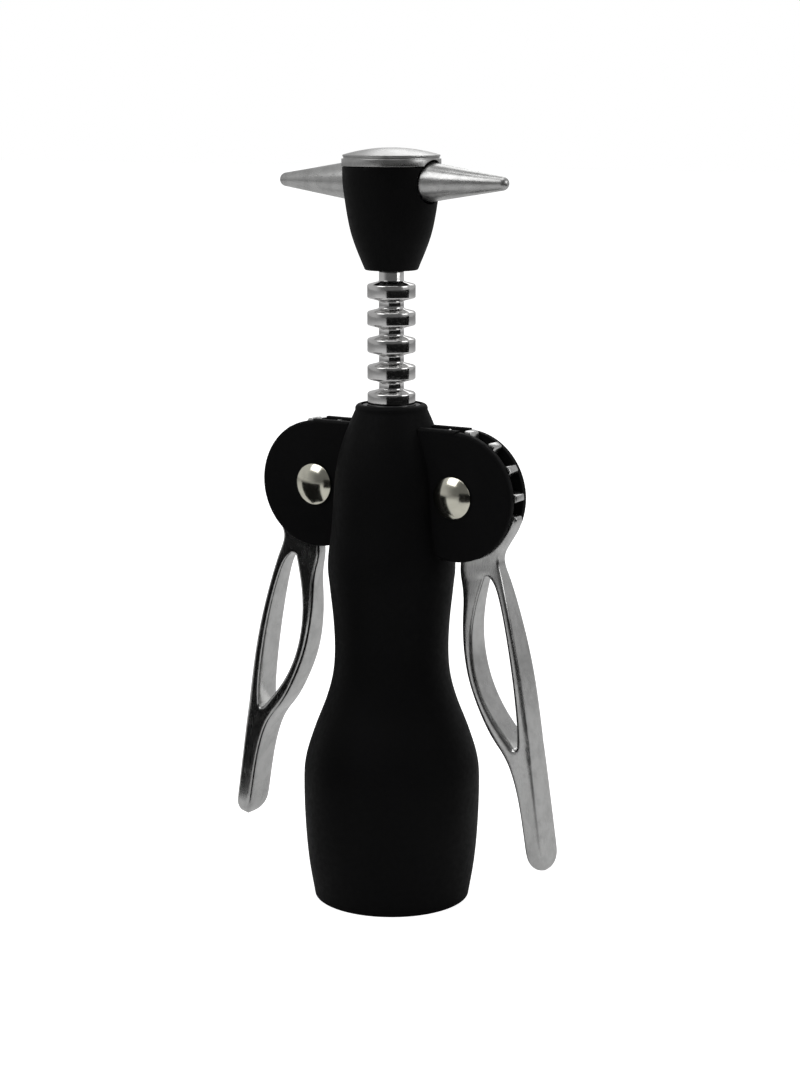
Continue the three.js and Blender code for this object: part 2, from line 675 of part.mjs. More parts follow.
/** The handle seen from the side: as wide as the pinion in its slot, broad at the tip. */
function handleSideCut() {
  const half = PINION_WIDTH / 2;
  const tipHalf = LEVER_TIP_WIDE / 2;
  const tipZ = -(LEVER_REACH - tipHalf);
  const side = [
    [half, 0],
    [half, -EAR_R - LEVER_STEM],
    [0.65 * half + 0.35 * tipHalf, -0.27 * LEVER_REACH],
    [0.25 * half + 0.75 * tipHalf, -0.42 * LEVER_REACH],
    [0.96 * tipHalf, -0.6 * LEVER_REACH],
    [tipHalf, tipZ],
  ];
  const outline = new THREE.Shape();
  outline.moveTo(-half, 0);
  outline.lineTo(half, 0);
  const down = new THREE.SplineCurve(side.slice(1).map(([y, z]) => new THREE.Vector2(y, z)));
  const edge = down.getPoints(12);
  edge.forEach((point) => outline.lineTo(point.x, point.y));
  outline.absarc(0, tipZ, tipHalf, 0, -Math.PI, true);
  edge.reverse().forEach((point) => outline.lineTo(-point.x, point.y));
  const deep = LEVER_REACH;
  const geometry = new THREE.ExtrudeGeometry(outline, {
    depth: deep,
    curveSegments: 10,
    bevelEnabled: false,
  });
  geometry.translate(0, 0, -deep / 2);
  const toSide = new THREE.Matrix4().makeBasis(
    new THREE.Vector3(0, 1, 0),
    new THREE.Vector3(0, 0, 1),
    new THREE.Vector3(1, 0, 0),
  );
  return solid(geometry.applyMatrix4(toSide));
}

function leverSolid() {
  const handle = plate(handleOutline(), 2 * LEVER_TIP_WIDE)
    .subtract(plate(handleEye(), 3 * LEVER_TIP_WIDE))
    .intersect(handleSideCut());
  const half = PINION_WIDTH / 2;
  let lever = bar(PINION_ROOT_R, [0, -half, 0], [0, half, 0], ROUND).add(handle);
  for (let i = 0; i < TEETH_CUT; i += 1) {
    const angle = -Math.PI / 2 - MESH_ANGLE + (2 * Math.PI * i) / PINION_TEETH;
    lever = lever.add(tooth(angle + LEVER_REST_ANGLE));
  }
  return lever.subtract(bar(AXLE_R + RUN_GAP, [0, -LEVER_TIP_WIDE, 0], [0, LEVER_TIP_WIDE, 0]));
}

/** A lever hung on its axle: side is +1 for the right one and -1 for the left. */
function makeLever(name, side) {
  const lever = piece(name, leverSolid(), satinZinc);
  lever.rotation.y = -LEVER_REST_ANGLE;
  const hanger = new THREE.Group();
  hanger.position.set(side * PINION_X, 0, PINION_Z);
  hanger.rotation.z = side > 0 ? 0 : Math.PI;
  hanger.add(lever);
  return hanger;
}

// ---- Axles ----

/** [radius, height] points of a low dome, from its rim to its middle. */
function domeSide(low) {
  const rise = AXLE_HEAD_HIGH - AXLE_HEAD_RIM;
  const domeR = (AXLE_HEAD_R ** 2 + rise ** 2) / (2 * rise);
  const steps = 5;
  return Array.from({ length: steps + 1 }, (_, i) => {
    const r = AXLE_HEAD_R * (1 - i / steps);
    return [r, low + AXLE_HEAD_HIGH - domeR + Math.sqrt(domeR ** 2 - r ** 2)];
  });
}

/** The axle pin, with its domed head at the back and a tail that the front cap is pressed on. */
function makeAxlePin(name, side) {
  const face = EAR_THICK / 2;
  const tail = -face - AXLE_TAIL;
  const outline = [
    [0, tail],
    [AXLE_TAIL_R, tail],
    [AXLE_TAIL_R, -face],
    [AXLE_R, -face],
    [AXLE_R, face + SEAT_GAP],
    [AXLE_HEAD_R, face + SEAT_GAP],
    ...domeSide(face + SEAT_GAP),
  ];
  const geometry = turnedGeometry(outline, SMALL).rotateX(-Math.PI / 2);
  return piece(name, solid(geometry.translate(side * PINION_X, 0, PINION_Z)), warmNickel);
}

function makeAxleCap(name, side) {
  const foot = EAR_THICK / 2 + SEAT_GAP;
  const bore = AXLE_TAIL_R + RUN_GAP;
  const boreEnd = EAR_THICK / 2 + AXLE_TAIL + SEAT_GAP;
  const outline = [[0, boreEnd], [bore, boreEnd], [bore, foot], [AXLE_HEAD_R, foot], ...domeSide(foot)];
  const geometry = turnedGeometry(outline, SMALL).rotateX(Math.PI / 2);
  return piece(name, solid(geometry.translate(side * PINION_X, 0, PINION_Z)), warmNickel);
}

// ---- The whole corkscrew ----

const corkscrew = new THREE.Group();
corkscrew.add(makeBody(), makeBottleCollar(), makeGuideBush());
corkscrew.add(makeRack(), makeWorm(), ...makeShankRings());
corkscrew.add(makeKnob(), makeKnobCap(), makeCrossbar(), makeCrossbarNut());
for (const [word, side] of [["left", -1], ["right", 1]]) {
  corkscrew.add(makeHandleCone(`handle_cone_${word}`, side));
  corkscrew.add(makeLever(`lever_${word}`, side));
  corkscrew.add(makeAxlePin(`axle_pin_${word}`, side));
  corkscrew.add(makeAxleCap(`axle_cap_${word}`, side));
}

export default corkscrew;
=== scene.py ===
"""Fine surfaces and finishes for a wing corkscrew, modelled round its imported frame.

Lengths are in metres. The worm and rack stand on the Z axis, the lever axles lie along Y at
either side, and each piece is modelled where it sits.
"""

import json
import math

import bpy
import bmesh
from bpy.props import FloatProperty, FloatVectorProperty, IntProperty, PointerProperty
from mathutils import Matrix, Quaternion, Vector


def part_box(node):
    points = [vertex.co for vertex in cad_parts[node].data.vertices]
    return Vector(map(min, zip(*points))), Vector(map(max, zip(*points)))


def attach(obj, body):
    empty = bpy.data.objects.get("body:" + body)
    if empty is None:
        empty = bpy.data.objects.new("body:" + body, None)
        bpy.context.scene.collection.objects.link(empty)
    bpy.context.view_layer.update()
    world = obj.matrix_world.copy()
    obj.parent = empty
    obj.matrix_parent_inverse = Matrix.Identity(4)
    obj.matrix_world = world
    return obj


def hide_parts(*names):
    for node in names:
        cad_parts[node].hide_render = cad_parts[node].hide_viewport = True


bl_info = {
    "name": "Wing corkscrew",
    "version": (1, 0, 0),
    "blender": (4, 5, 0),
    "location": "3D View > Sidebar > Corkscrew",
    "description": "Models the fine surfaces and finishes of a wing corkscrew",
    "category": "Add Mesh",
}

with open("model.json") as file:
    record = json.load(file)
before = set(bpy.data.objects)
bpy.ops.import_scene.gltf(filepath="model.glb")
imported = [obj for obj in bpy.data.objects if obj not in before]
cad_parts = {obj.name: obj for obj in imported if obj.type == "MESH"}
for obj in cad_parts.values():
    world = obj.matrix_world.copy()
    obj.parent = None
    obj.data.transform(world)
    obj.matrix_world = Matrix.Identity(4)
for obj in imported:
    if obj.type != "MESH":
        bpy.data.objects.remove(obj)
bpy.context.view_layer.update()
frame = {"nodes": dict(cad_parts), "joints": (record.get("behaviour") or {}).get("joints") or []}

MM = 0.001
TURN = 2 * math.pi
HALF_TURN = math.pi
QUARTER_TURN = math.pi / 2
WELD = 0.002 * MM  # points closer than this are one point
SHARP = math.radians(32)  # edges that turn more than this stay crisp
AXLES = {
    joint["child"].split("_")[0]: Vector(joint["pos_m"])
    for joint in frame["joints"]
    if joint["child"].endswith("_lever")
}


# ---- What a user would change ----


def length(name, description, millimetres):
    """A length property, given in millimetres and kept in metres."""
    return FloatProperty(
        name=name, description=description, default=millimetres * MM, unit="LENGTH", precision=5
    )


def angle(name, description, degrees):
    return FloatProperty(
        name=name, description=description, default=math.radians(degrees), subtype="ANGLE"
    )


def share(name, description, value):
    return FloatProperty(
        name=name, description=description, default=value, min=0.0, max=1.0, subtype="FACTOR"
    )


def colour(name, description, value):
    return FloatVectorProperty(
        name=name, description=description, default=value, min=0.0, max=1.0, size=3, subtype="COLOR"
    )


class BodySizes(bpy.types.PropertyGroup):
    rim_radius: length("Rim radius", "Outside of the bell at its foot", 19.7)
    rim_edge: length("Rim edge", "Round at the rim's foot", 0.4)
    bell_radius: length("Bell radius", "Widest part of the bell", 22.3)
    bell_height: length("Bell height", "Height of the widest part", 28.5)
    waist_radius: length("Waist radius", "Narrowest part above the bell", 14.35)
    waist_height: length("Waist height", "Height of the waist", 64.5)
    shoulder_radius: length("Shoulder radius", "Swell under the ears", 16.0)
    shoulder_height: length("Shoulder height", "Height of the swell", 86.5)
    neck_radius: length("Neck radius", "Neck between the ears", 14.0)
    neck_height: length("Neck height", "Height where the neck starts to close in", 109.0)
    mouth_radius: length("Mouth radius", "Outside of the neck's top", 9.0)
    mouth_edge: length("Mouth edge", "Round at the neck's top", 1.5)
    mouth_flat: length("Mouth flat", "Flat left inside the round at the neck's top", 0.4)
    cork_room: length("Cork room", "Inside radius of the bell above the collar", 16.2)
    cork_room_top: length("Cork room top", "Height where the bell closes in", 38.0)
    worm_room: length("Worm room", "Inside radius of the waist", 10.8)
    worm_room_foot: length("Worm room foot", "Height where the narrow room starts", 57.0)
    worm_room_top: length("Worm room top", "Height of the narrow room's top", 86.0)
    neck_room: length("Neck room", "Inside radius of the neck", 9.0)
    rack_bore: length("Rack bore", "Bore that the rack runs through", 6.4)
    seat_gap: length("Seat gap", "Gap between pieces that seat on each other", 0.15)


class EarSizes(bpy.types.PropertyGroup):
    radius: length("Radius", "Round end of an ear, about the axle", 16.0)
    thickness: length("Thickness", "Across both cheeks", 8.6)
    slot: length("Slot", "Width of the slot that the lever turns in", 4.4)
    flat_height: length("Flat height", "Height of the ear's flat top", 121.5)
    flat_end: length("Flat end", "How far the flat top runs past the axle", 0.8)
    root: length("Root", "How far into the neck's wall a cheek reaches, from the axis", 9.7)
    slot_start: length("Slot start", "Where the slot opens at the top, from the axis", 11.5)
    slot_reach: length("Slot reach", "Radius of the slot about the axle", 16.9)
    outer_edge: length("Outer edge", "Round on a cheek's outer edge", 0.8)
    inner_edge: length("Inner edge", "Round on the slot's edge", 0.25)


class RackSizes(bpy.types.PropertyGroup):
    pitch: length("Pitch", "Between neighbouring rings", 6.65)
    rings: IntProperty(name="Rings", description="Number of rings", default=10, min=1)
    ring_thickness: length("Ring thickness", "At the pitch radius", 3.6)
    pitch_radius: length("Pitch radius", "Where the teeth meet the rings", 5.38)
    core_radius: length("Core radius", "Between the rings", 3.08)
    neck_length: length("Neck length", "Plain stretch above the top ring", 3.2)
    bore: length("Bore", "Radius of the bore for the worm's shank", 1.6)
    pressure_angle: angle("Pressure angle", "Slope of the rings' sides", 14.5)
    edge: length("Edge", "Round on the rings' edges", 0.35)


class PinionSizes(bpy.types.PropertyGroup):
    teeth: IntProperty(name="Teeth", description="Teeth on a full turn", default=14, min=4)
    teeth_cut: IntProperty(name="Teeth cut", description="Teeth that each lever has", default=8, min=1)
    tip_radius: length("Tip radius", "Over the teeth", 16.5)
    root_radius: length("Root radius", "Between the teeth", 13.9)
    width: length("Width", "Along the axle", 4.0)
    backlash: length("Backlash", "Play between the teeth and the rings", 0.35)
    first_tooth: angle("First tooth", "Below the line from axle to rack", 3.1)
    edge: length("Edge", "Round on the teeth's edges", 0.25)
    bore: length("Bore", "Radius of the axle's bore", 3.1)


class LeverSizes(bpy.types.PropertyGroup):
    reach: length("Reach", "From axle to tip", 94.5)
    rest_angle: angle("Rest angle", "Outwards from straight down", 15.0)
    root_radius: length("Root radius", "Round shoulder outside the ear", 17.3)
    tip_width: length("Tip width", "Along the axle's direction", 9.4)
    tip_thickness: length("Tip thickness", "Across the handle", 4.3)
    tip_out: length("Tip out", "How far the tip stands out of the centre line", 0.15)


class WormSizes(bpy.types.PropertyGroup):
    wire: length("Wire radius", "Radius of the wire", 1.5)
    radius: length("Radius", "Outside of the coil", 4.75)
    pitch: length("Pitch", "Between neighbouring coils", 9.6)
    turns: FloatProperty(name="Turns", description="Turns of the coil", default=5.5, min=1)
    tip_height: length("Tip height", "Height where the point starts", 27.0)
    point: length("Point", "Length of the sharpened point", 4.0)


class KnobSizes(bpy.types.PropertyGroup):
    foot_radius: length("Foot radius", "Flat underside", 6.5)
    radius: length("Radius", "At the top", 12.0)
    edge: length("Edge", "Round on the knob's edges", 0.45)
    skirt: length("Skirt", "Height of the cap's plain band", 1.75)
    groove: length("Groove", "Height of the groove over the band", 0.5)
    groove_depth: length("Groove depth", "Depth of the groove", 0.45)
    dome_radius: length("Dome radius", "Rim of the cap's dome", 11.9)
    pocket: length("Pocket", "Radius of the pocket under the cap", 5.0)
    cone_pocket: length("Cone pocket", "Radius of the recess that a cone stands in", 5.35)
    cone_radius: length("Cone radius", "Root of a handle cone", 5.0)
    cone_tip: length("Cone tip", "Radius of a cone's round tip", 1.7)
    cone_collar: length("Cone collar", "Length of the plain root of a cone", 0.8)
    bar_radius: length("Bar radius", "Radius of the bar that the cones sit on", 2.4)
    bar_grip: length("Bar grip", "Length of the bar inside a cone", 7.0)
    washer_recess: length("Washer recess", "Radius of the recess under the knob", 4.3)
    washer_depth: length("Washer depth", "Depth of that recess", 0.75)


class AxleSizes(bpy.types.PropertyGroup):
    head_rim: length("Head rim", "Height of a head's upright rim", 0.4)
    head_edge: length("Head edge", "Round on a head's rim", 0.15)
    pin_radius: length("Pin radius", "Radius of the axle pin", 3.0)
    tail_radius: length("Tail radius", "Radius of the tail under the front cap", 1.9)
    tail_length: length("Tail length", "Length of that tail", 1.3)


class Finishes(bpy.types.PropertyGroup):
    soft_black: colour("Soft black", "Rubbery coat on the body", (0.0026, 0.0026, 0.0028))
    worn_black: colour("Worn black", "The same coat where it is rubbed", (0.0055, 0.0055, 0.0058))
    knob_black: colour("Knob black", "Moulded knob", (0.0022, 0.0022, 0.0023))
    zinc: colour("Zinc", "Satin metal of the levers", (0.56, 0.56, 0.555))
    cone_zinc: colour("Cone zinc", "Satin metal of the cones", (0.5, 0.5, 0.495))
    cap_zinc: colour("Cap zinc", "Satin metal of the cap", (0.44, 0.44, 0.435))
    chrome: colour("Chrome", "Bright plating on the rack", (0.7, 0.695, 0.69))
    nickel: colour("Nickel", "Warm plating on the axles", (0.74, 0.725, 0.62))
    steel: colour("Steel", "Drawn wire and turned steel", (0.5, 0.5, 0.51))
    plastic: colour("Plastic", "Collar, bush and washers", (0.02, 0.02, 0.022))


class StageSettings(bpy.types.PropertyGroup):
    azimuth: angle("Azimuth", "Camera's turn to the object's right", 32.0)
    elevation: angle("Elevation", "Camera's height above the horizon", 10.6)
    distance: length("Distance", "Camera to the point it looks at", 569.7)
    aim_height: length("Aim height", "Height of the point it looks at", 93.8)
    aim_right: length("Aim right", "How far that point lies to the camera's right", 2.1)
    focal_length: FloatProperty(
        name="Focal length", description="Lens in millimetres", default=76.96, unit="CAMERA"
    )
    surround: share("Surround", "Brightness of the white room", 0.5)
    dark_side: share("Dark side", "Brightness of the room behind the camera", 0.14)


class CorkscrewSettings(bpy.types.PropertyGroup):
    body: PointerProperty(type=BodySizes)
    ear: PointerProperty(type=EarSizes)
    rack: PointerProperty(type=RackSizes)
    pinion: PointerProperty(type=PinionSizes)
    lever: PointerProperty(type=LeverSizes)
    worm: PointerProperty(type=WormSizes)
    knob: PointerProperty(type=KnobSizes)
    axle: PointerProperty(type=AxleSizes)
    finishes: PointerProperty(type=Finishes)
    stage: PointerProperty(type=StageSettings)


# ---- Drawing outlines ----


def smooth(points, steps):
    """Points on a smooth curve through the given ones, with steps to each stretch."""
    knots = [Vector(point) for point in (points[0], *points, points[-1])]
    curve = []
    for before, start, end, after in zip(knots, knots[1:], knots[2:], knots[3:]):
        for step in range(steps):
            t = step / steps
            straight = 2 * start + (end - before) * t
            bend = (2 * before - 5 * start + 4 * end - after) * t**2
            twist = (3 * start - before - 3 * end + after) * t**3
            curve.append((straight + bend + twist) / 2)
    return [*curve, knots[-1]]


def arc(centre, radius, start, end, steps):
    """Points on a round, by angles from the first axis towards the second."""
    turns = [start + (end - start) * step / steps for step in range(steps + 1)]
    return [Vector(centre) + radius * Vector((math.cos(turn), math.sin(turn))) for turn in turns]


def part_way(start, end, shares):
    """Points part-way between two [radius, height] points, by shares of height and of radius."""
    (from_r, from_z), (to_r, to_z) = start, end
    return [(from_r + wide * (to_r - from_r), from_z + high * (to_z - from_z)) for high, wide in shares]


def at_height(points, height):
    """The first coordinate of a run of points where the second one is at a height."""
    for (x, z), (next_x, next_z) in zip(points, points[1:]):
        if min(z, next_z) <= height <= max(z, next_z) and z != next_z:
            return x + (next_x - x) * (height - z) / (next_z - z)
    return min(points, key=lambda point: abs(point[1] - height))[0]


def upright(point):
    """A point of an outline, drawn in the XZ plane."""
    return Vector((point[0], 0, point[1]))


# ---- Modelling steps ----


def choose(piece):
    """Makes a piece the only one chosen."""
    bpy.ops.object.select_all(action="DESELECT")
    piece.select_set(True)
    bpy.context.view_layer.objects.active = piece


def begin(name, point):
    """A new piece in edit mode, of one chosen vertex at a point."""
    bpy.ops.object.select_all(action="DESELECT")
    bpy.ops.mesh.primitive_plane_add(size=MM)
    piece = bpy.context.object
    piece.name = name
    piece.data.name = name
    bpy.ops.object.mode_set(mode="EDIT")
    bpy.ops.mesh.select_mode(type="VERT")
    bpy.ops.mesh.select_all(action="SELECT")
    bpy.ops.mesh.merge(type="CENTER")
    bpy.ops.transform.translate(value=point)
    return piece


def draw(points):
    """Extrudes the chosen vertex through a run of points."""
    for start, end in zip(points, points[1:]):
        bpy.ops.mesh.extrude_region_move(TRANSFORM_OT_translate={"value": end - start})


def tidy_mesh():
    """In edit mode: joins doubles and turns every face outwards."""
    bpy.ops.mesh.select_all(action="SELECT")
    bpy.ops.mesh.remove_doubles(threshold=WELD)
    bpy.ops.mesh.normals_make_consistent(inside=False)


def turned(name, outline, steps):
    """A piece turned about Z from a closed [radius, height] outline, or one that ends on Z."""
    points = [upright(point) for point in outline]
    piece = begin(name, points[0])
    draw(points)
    bpy.ops.mesh.select_all(action="SELECT")
    bpy.ops.mesh.spin(steps=steps, angle=TURN, center=(0, 0, 0), axis=(0, 0, 1))
    tidy_mesh()
    bpy.ops.object.mode_set(mode="OBJECT")
    return piece


def plate(name, outline, low, high):
    """A flat piece cut to an outline in XZ, from low to high along Y."""
    points = [upright(point) + Vector((0, low, 0)) for point in outline]
    piece = begin(name, points[0])
    draw(points)
    bpy.ops.mesh.select_all(action="SELECT")
    bpy.ops.mesh.remove_doubles(threshold=WELD)
    bpy.ops.mesh.edge_face_add()
    bpy.ops.mesh.extrude_region_move(TRANSFORM_OT_translate={"value": (0, high - low, 0)})
    tidy_mesh()
    bpy.ops.object.mode_set(mode="OBJECT")
    return piece


def rod(name, radius, start, end, sides):
    """A plain cutter: a cylinder between two points, with no corner on a plane through its axis."""
    along = Vector(end) - Vector(start)
    turn = along.to_track_quat("Z", "Y") @ Quaternion((0, 0, 1), TURN / sides / 4)
    bpy.ops.object.select_all(action="DESELECT")
    bpy.ops.mesh.primitive_cylinder_add(
        vertices=sides,
        radius=radius,
        depth=along.length,
        location=(Vector(start) + Vector(end)) / 2,
        rotation=turn.to_euler(),
    )
    cutter = bpy.context.object
    cutter.name = name
    return settle(cutter)


def block(name, low, high):
    """A plain cutter: a box between two corners."""
    size = Vector(high) - Vector(low)
    bpy.ops.object.select_all(action="DESELECT")
    bpy.ops.mesh.primitive_cube_add(size=1, location=(Vector(low) + Vector(high)) / 2, scale=size)
    cutter = bpy.context.object
    cutter.name = name
    return settle(cutter)


def settle(piece):
    """Moves a piece's place, turn and scale into its mesh."""
    choose(piece)
    bpy.ops.object.transform_apply(location=True, rotation=True, scale=True)
    return piece


def modify(piece, kind, **settings):
    """Adds a modifier and applies it."""
    choose(piece)
    bpy.ops.object.modifier_add(type=kind)
    modifier = piece.modifiers[-1]
    for name, value in settings.items():
        setattr(modifier, name, value)
    bpy.ops.object.modifier_apply(modifier=modifier.name)
    return piece


def combine(piece, operation, *others):
    """Joins other pieces to a piece, or cuts them out of it, and uses them up."""
    for other in others:
        modify(piece, "BOOLEAN", operation=operation, object=other, solver="EXACT")
        bpy.data.objects.remove(other)
    return piece


def round_edges(piece, width, segments=3):
    """Rounds every crisp edge of a piece."""
    return modify(
        piece,
        "BEVEL",
        width=width,
        segments=segments,
        limit_method="ANGLE",
        angle_limit=SHARP,
        use_clamp_overlap=True,
        harden_normals=False,
    )


def soften(piece):
    """Shades a piece smooth, with its crisp edges kept."""
    choose(piece)
    bpy.ops.object.shade_smooth_by_angle(angle=SHARP)
    return piece


def twin(piece, name, matrix):
    """A copy of a piece with its own mesh, moved by a matrix."""
    choose(piece)
    bpy.ops.object.duplicate()
    copy = bpy.context.object
    copy.name = name
    copy.data.name = name
    copy.matrix_world = matrix
    return settle(copy)


def half_turned(piece, name):
    """A copy turned half round Z, for the other side."""
    return twin(piece, name, Matrix.Rotation(HALF_TURN, 4, "Z"))


def hand_over(piece, node, body, finish):
    """Gives a finished piece its finish, hangs it under the body that it moves with, and hides the CAD node that it
    stands for.
    """
    piece.data.materials.clear()
    piece.data.materials.append(finish)
    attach(piece, body)
    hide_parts(node)
    return piece


# ---- Finishes ----


class Finish:
    """A node material being made, on coordinates fixed to the object."""

    def __init__(self, name, base, metallic, roughness):
        self.material = bpy.data.materials.new(name)
        self.material.use_nodes = True
        self.nodes = self.material.node_tree.nodes
        self.shader = self.nodes["Principled BSDF"]
        self.shader.inputs["Base Color"].default_value = (*base, 1)
        self.shader.inputs["Metallic"].default_value = metallic
        self.shader.inputs["Roughness"].default_value = roughness
        self.place = self.add("ShaderNodeTexCoord").outputs["Object"]

    def add(self, kind, **values):
        """A node with some of its sockets set: a linked one is given as the socket to link."""
        node = self.nodes.new(kind)
        for name, value in values.items():
            self.set(node, name.replace("_", " ").title(), value)
        return node

    def set(self, node, socket, value):
        if isinstance(value, bpy.types.NodeSocket):
            self.material.node_tree.links.new(value, node.inputs[socket])
        else:
            node.inputs[socket].default_value = value

    def noise(self, size, detail=2.0, stretch=(1, 1, 1), roughness=0.5):
        """Grain of a given size in metres, drawn out along an axis where stretch is above 1."""
        mapping = self.add("ShaderNodeMapping", vector=self.place)
        mapping.inputs["Scale"].default_value = [1 / (size * along) for along in stretch]
        grain = self.add("ShaderNodeTexNoise", vector=mapping.outputs["Vector"])
        grain.inputs["Scale"].default_value = 1
        grain.inputs["Detail"].default_value = detail
        grain.inputs["Roughness"].default_value = roughness
        return grain.outputs["Fac"]

    def between(self, value, low, high, from_low=0.3, from_high=0.7):
        """A value brought from one range into another."""
        node = self.add("ShaderNodeMapRange", value=value)
        for socket, number in zip(("From Min", "From Max", "To Min", "To Max"), (from_low, from_high, low, high)):
            node.inputs[socket].default_value = number
        return node.outputs["Result"]

    def blend(self, factor, first, second):
        """A colour between two, by a factor."""
        mix = self.nodes.new("ShaderNodeMix")
        mix.data_type = "RGBA"
        self.set(mix, "Factor", factor)
        for socket, value in (("A", first), ("B", second)):
            target = [entry for entry in mix.inputs if entry.name == socket and entry.type == "RGBA"][0]
            if isinstance(value, bpy.types.NodeSocket):
                self.material.node_tree.links.new(value, target)
            else:
                target.default_value = (*value, 1)
        return [entry for entry in mix.outputs if entry.type == "RGBA"][0]

    def sum(self, *values):
        """The sum of several values."""
        total = values[0]
        for value in values[1:]:
            node = self.nodes.new("ShaderNodeMath")
            node.operation = "ADD"
            self.material.node_tree.links.new(total, node.inputs[0])
            self.material.node_tree.links.new(value, node.inputs[1])
            total = node.outputs[0]
        return total

    def edges(self, low, high):
        """1 on crisp outer edges and 0 elsewhere."""
        geometry = self.nodes.new("ShaderNodeNewGeometry")
        return self.between(geometry.outputs["Pointiness"], 0.0, 1.0, low, high)

    def bump(self, height, depth, strength=1.0):
        """Raises the surface by a height pattern, depth metres at most."""
        node = self.add("ShaderNodeBump", height=height, distance=depth, strength=strength)
        self.set(self.shader, "Normal", node.outputs["Normal"])

    def use(self, socket, value):
        self.set(self.shader, socket, value)


def coated_black(name, base, worn, grain, roughness):
    """A soft rubbery coat: fine grain, cloudy gloss, and faintly rubbed edges."""
    finish = Finish(name, base, 0.0, roughness)
    clouds = finish.noise(14 * MM, detail=4)
    specks = finish.noise(1.3 * MM, detail=3)
    rubbed = finish.edges(0.53, 0.6)
    coat = finish.blend(finish.between(clouds, 0.0, 0.35), base, worn)
    finish.use("Base Color", finish.blend(rubbed, coat, worn))
    finish.use("Roughness", finish.between(finish.sum(clouds, specks), roughness - 0.09, roughness + 0.09, 0.7, 1.3))
    finish.bump(finish.noise(grain, detail=3, roughness=0.6), 0.02 * MM, 0.5)
    finish.use("Specular IOR Level", 0.07)
    return finish.material


def satin_metal(name, base, roughness, stretch):
    """Tumbled and drawn metal: fine lines one way, soft waves, and small stains."""
    finish = Finish(name, base, 1.0, roughness)
    lines = finish.noise(0.22 * MM, detail=3, stretch=stretch)
    waves = finish.noise(7 * MM, detail=2)
    stains = finish.noise(3.2 * MM, detail=5, roughness=0.65)
    dull = [0.82 * channel for channel in base]
    finish.use("Base Color", finish.blend(finish.between(stains, 0.0, 1.0, 0.42, 0.66), base, dull))
    gloss = finish.sum(lines, waves)
    finish.use("Roughness", finish.between(gloss, roughness - 0.05, roughness + 0.08, 0.75, 1.3))
    finish.bump(finish.sum(finish.between(lines, 0.0, 0.12), waves), 0.05 * MM, 0.35)
    return finish.material


def bright_plating(name, base, roughness):
    """Bright plating: nearly a mirror, with faint waves and a haze of fine marks."""
    finish = Finish(name, base, 1.0, roughness)
    waves = finish.noise(3.5 * MM, detail=2)
    haze = finish.noise(0.6 * MM, detail=4, roughness=0.6)
    tarnish = [0.86 * channel for channel in base]
    finish.use("Base Color", finish.blend(finish.between(waves, 0.0, 1.0, 0.4, 0.7), base, tarnish))
    finish.use("Roughness", finish.between(haze, roughness - 0.03, roughness + 0.07))
    finish.bump(waves, 0.03 * MM, 0.25)
    return finish.material


def moulded_plastic(name, base, roughness):
    """Moulded plastic with the fine spark grain of its mould."""
    finish = Finish(name, base, 0.0, roughness)
    grain = finish.noise(0.35 * MM, detail=3)
    paler = [min(1.0, 1.6 * channel) for channel in base]
    finish.use("Base Color", finish.blend(finish.between(grain, 0.0, 1.0), base, paler))
    finish.use("Roughness", finish.between(grain, roughness - 0.06, roughness + 0.08))
    finish.bump(grain, 0.02 * MM, 0.4)
    return finish.material


def settings_of(context):
    return context.scene.corkscrew


# ---- Operators ----


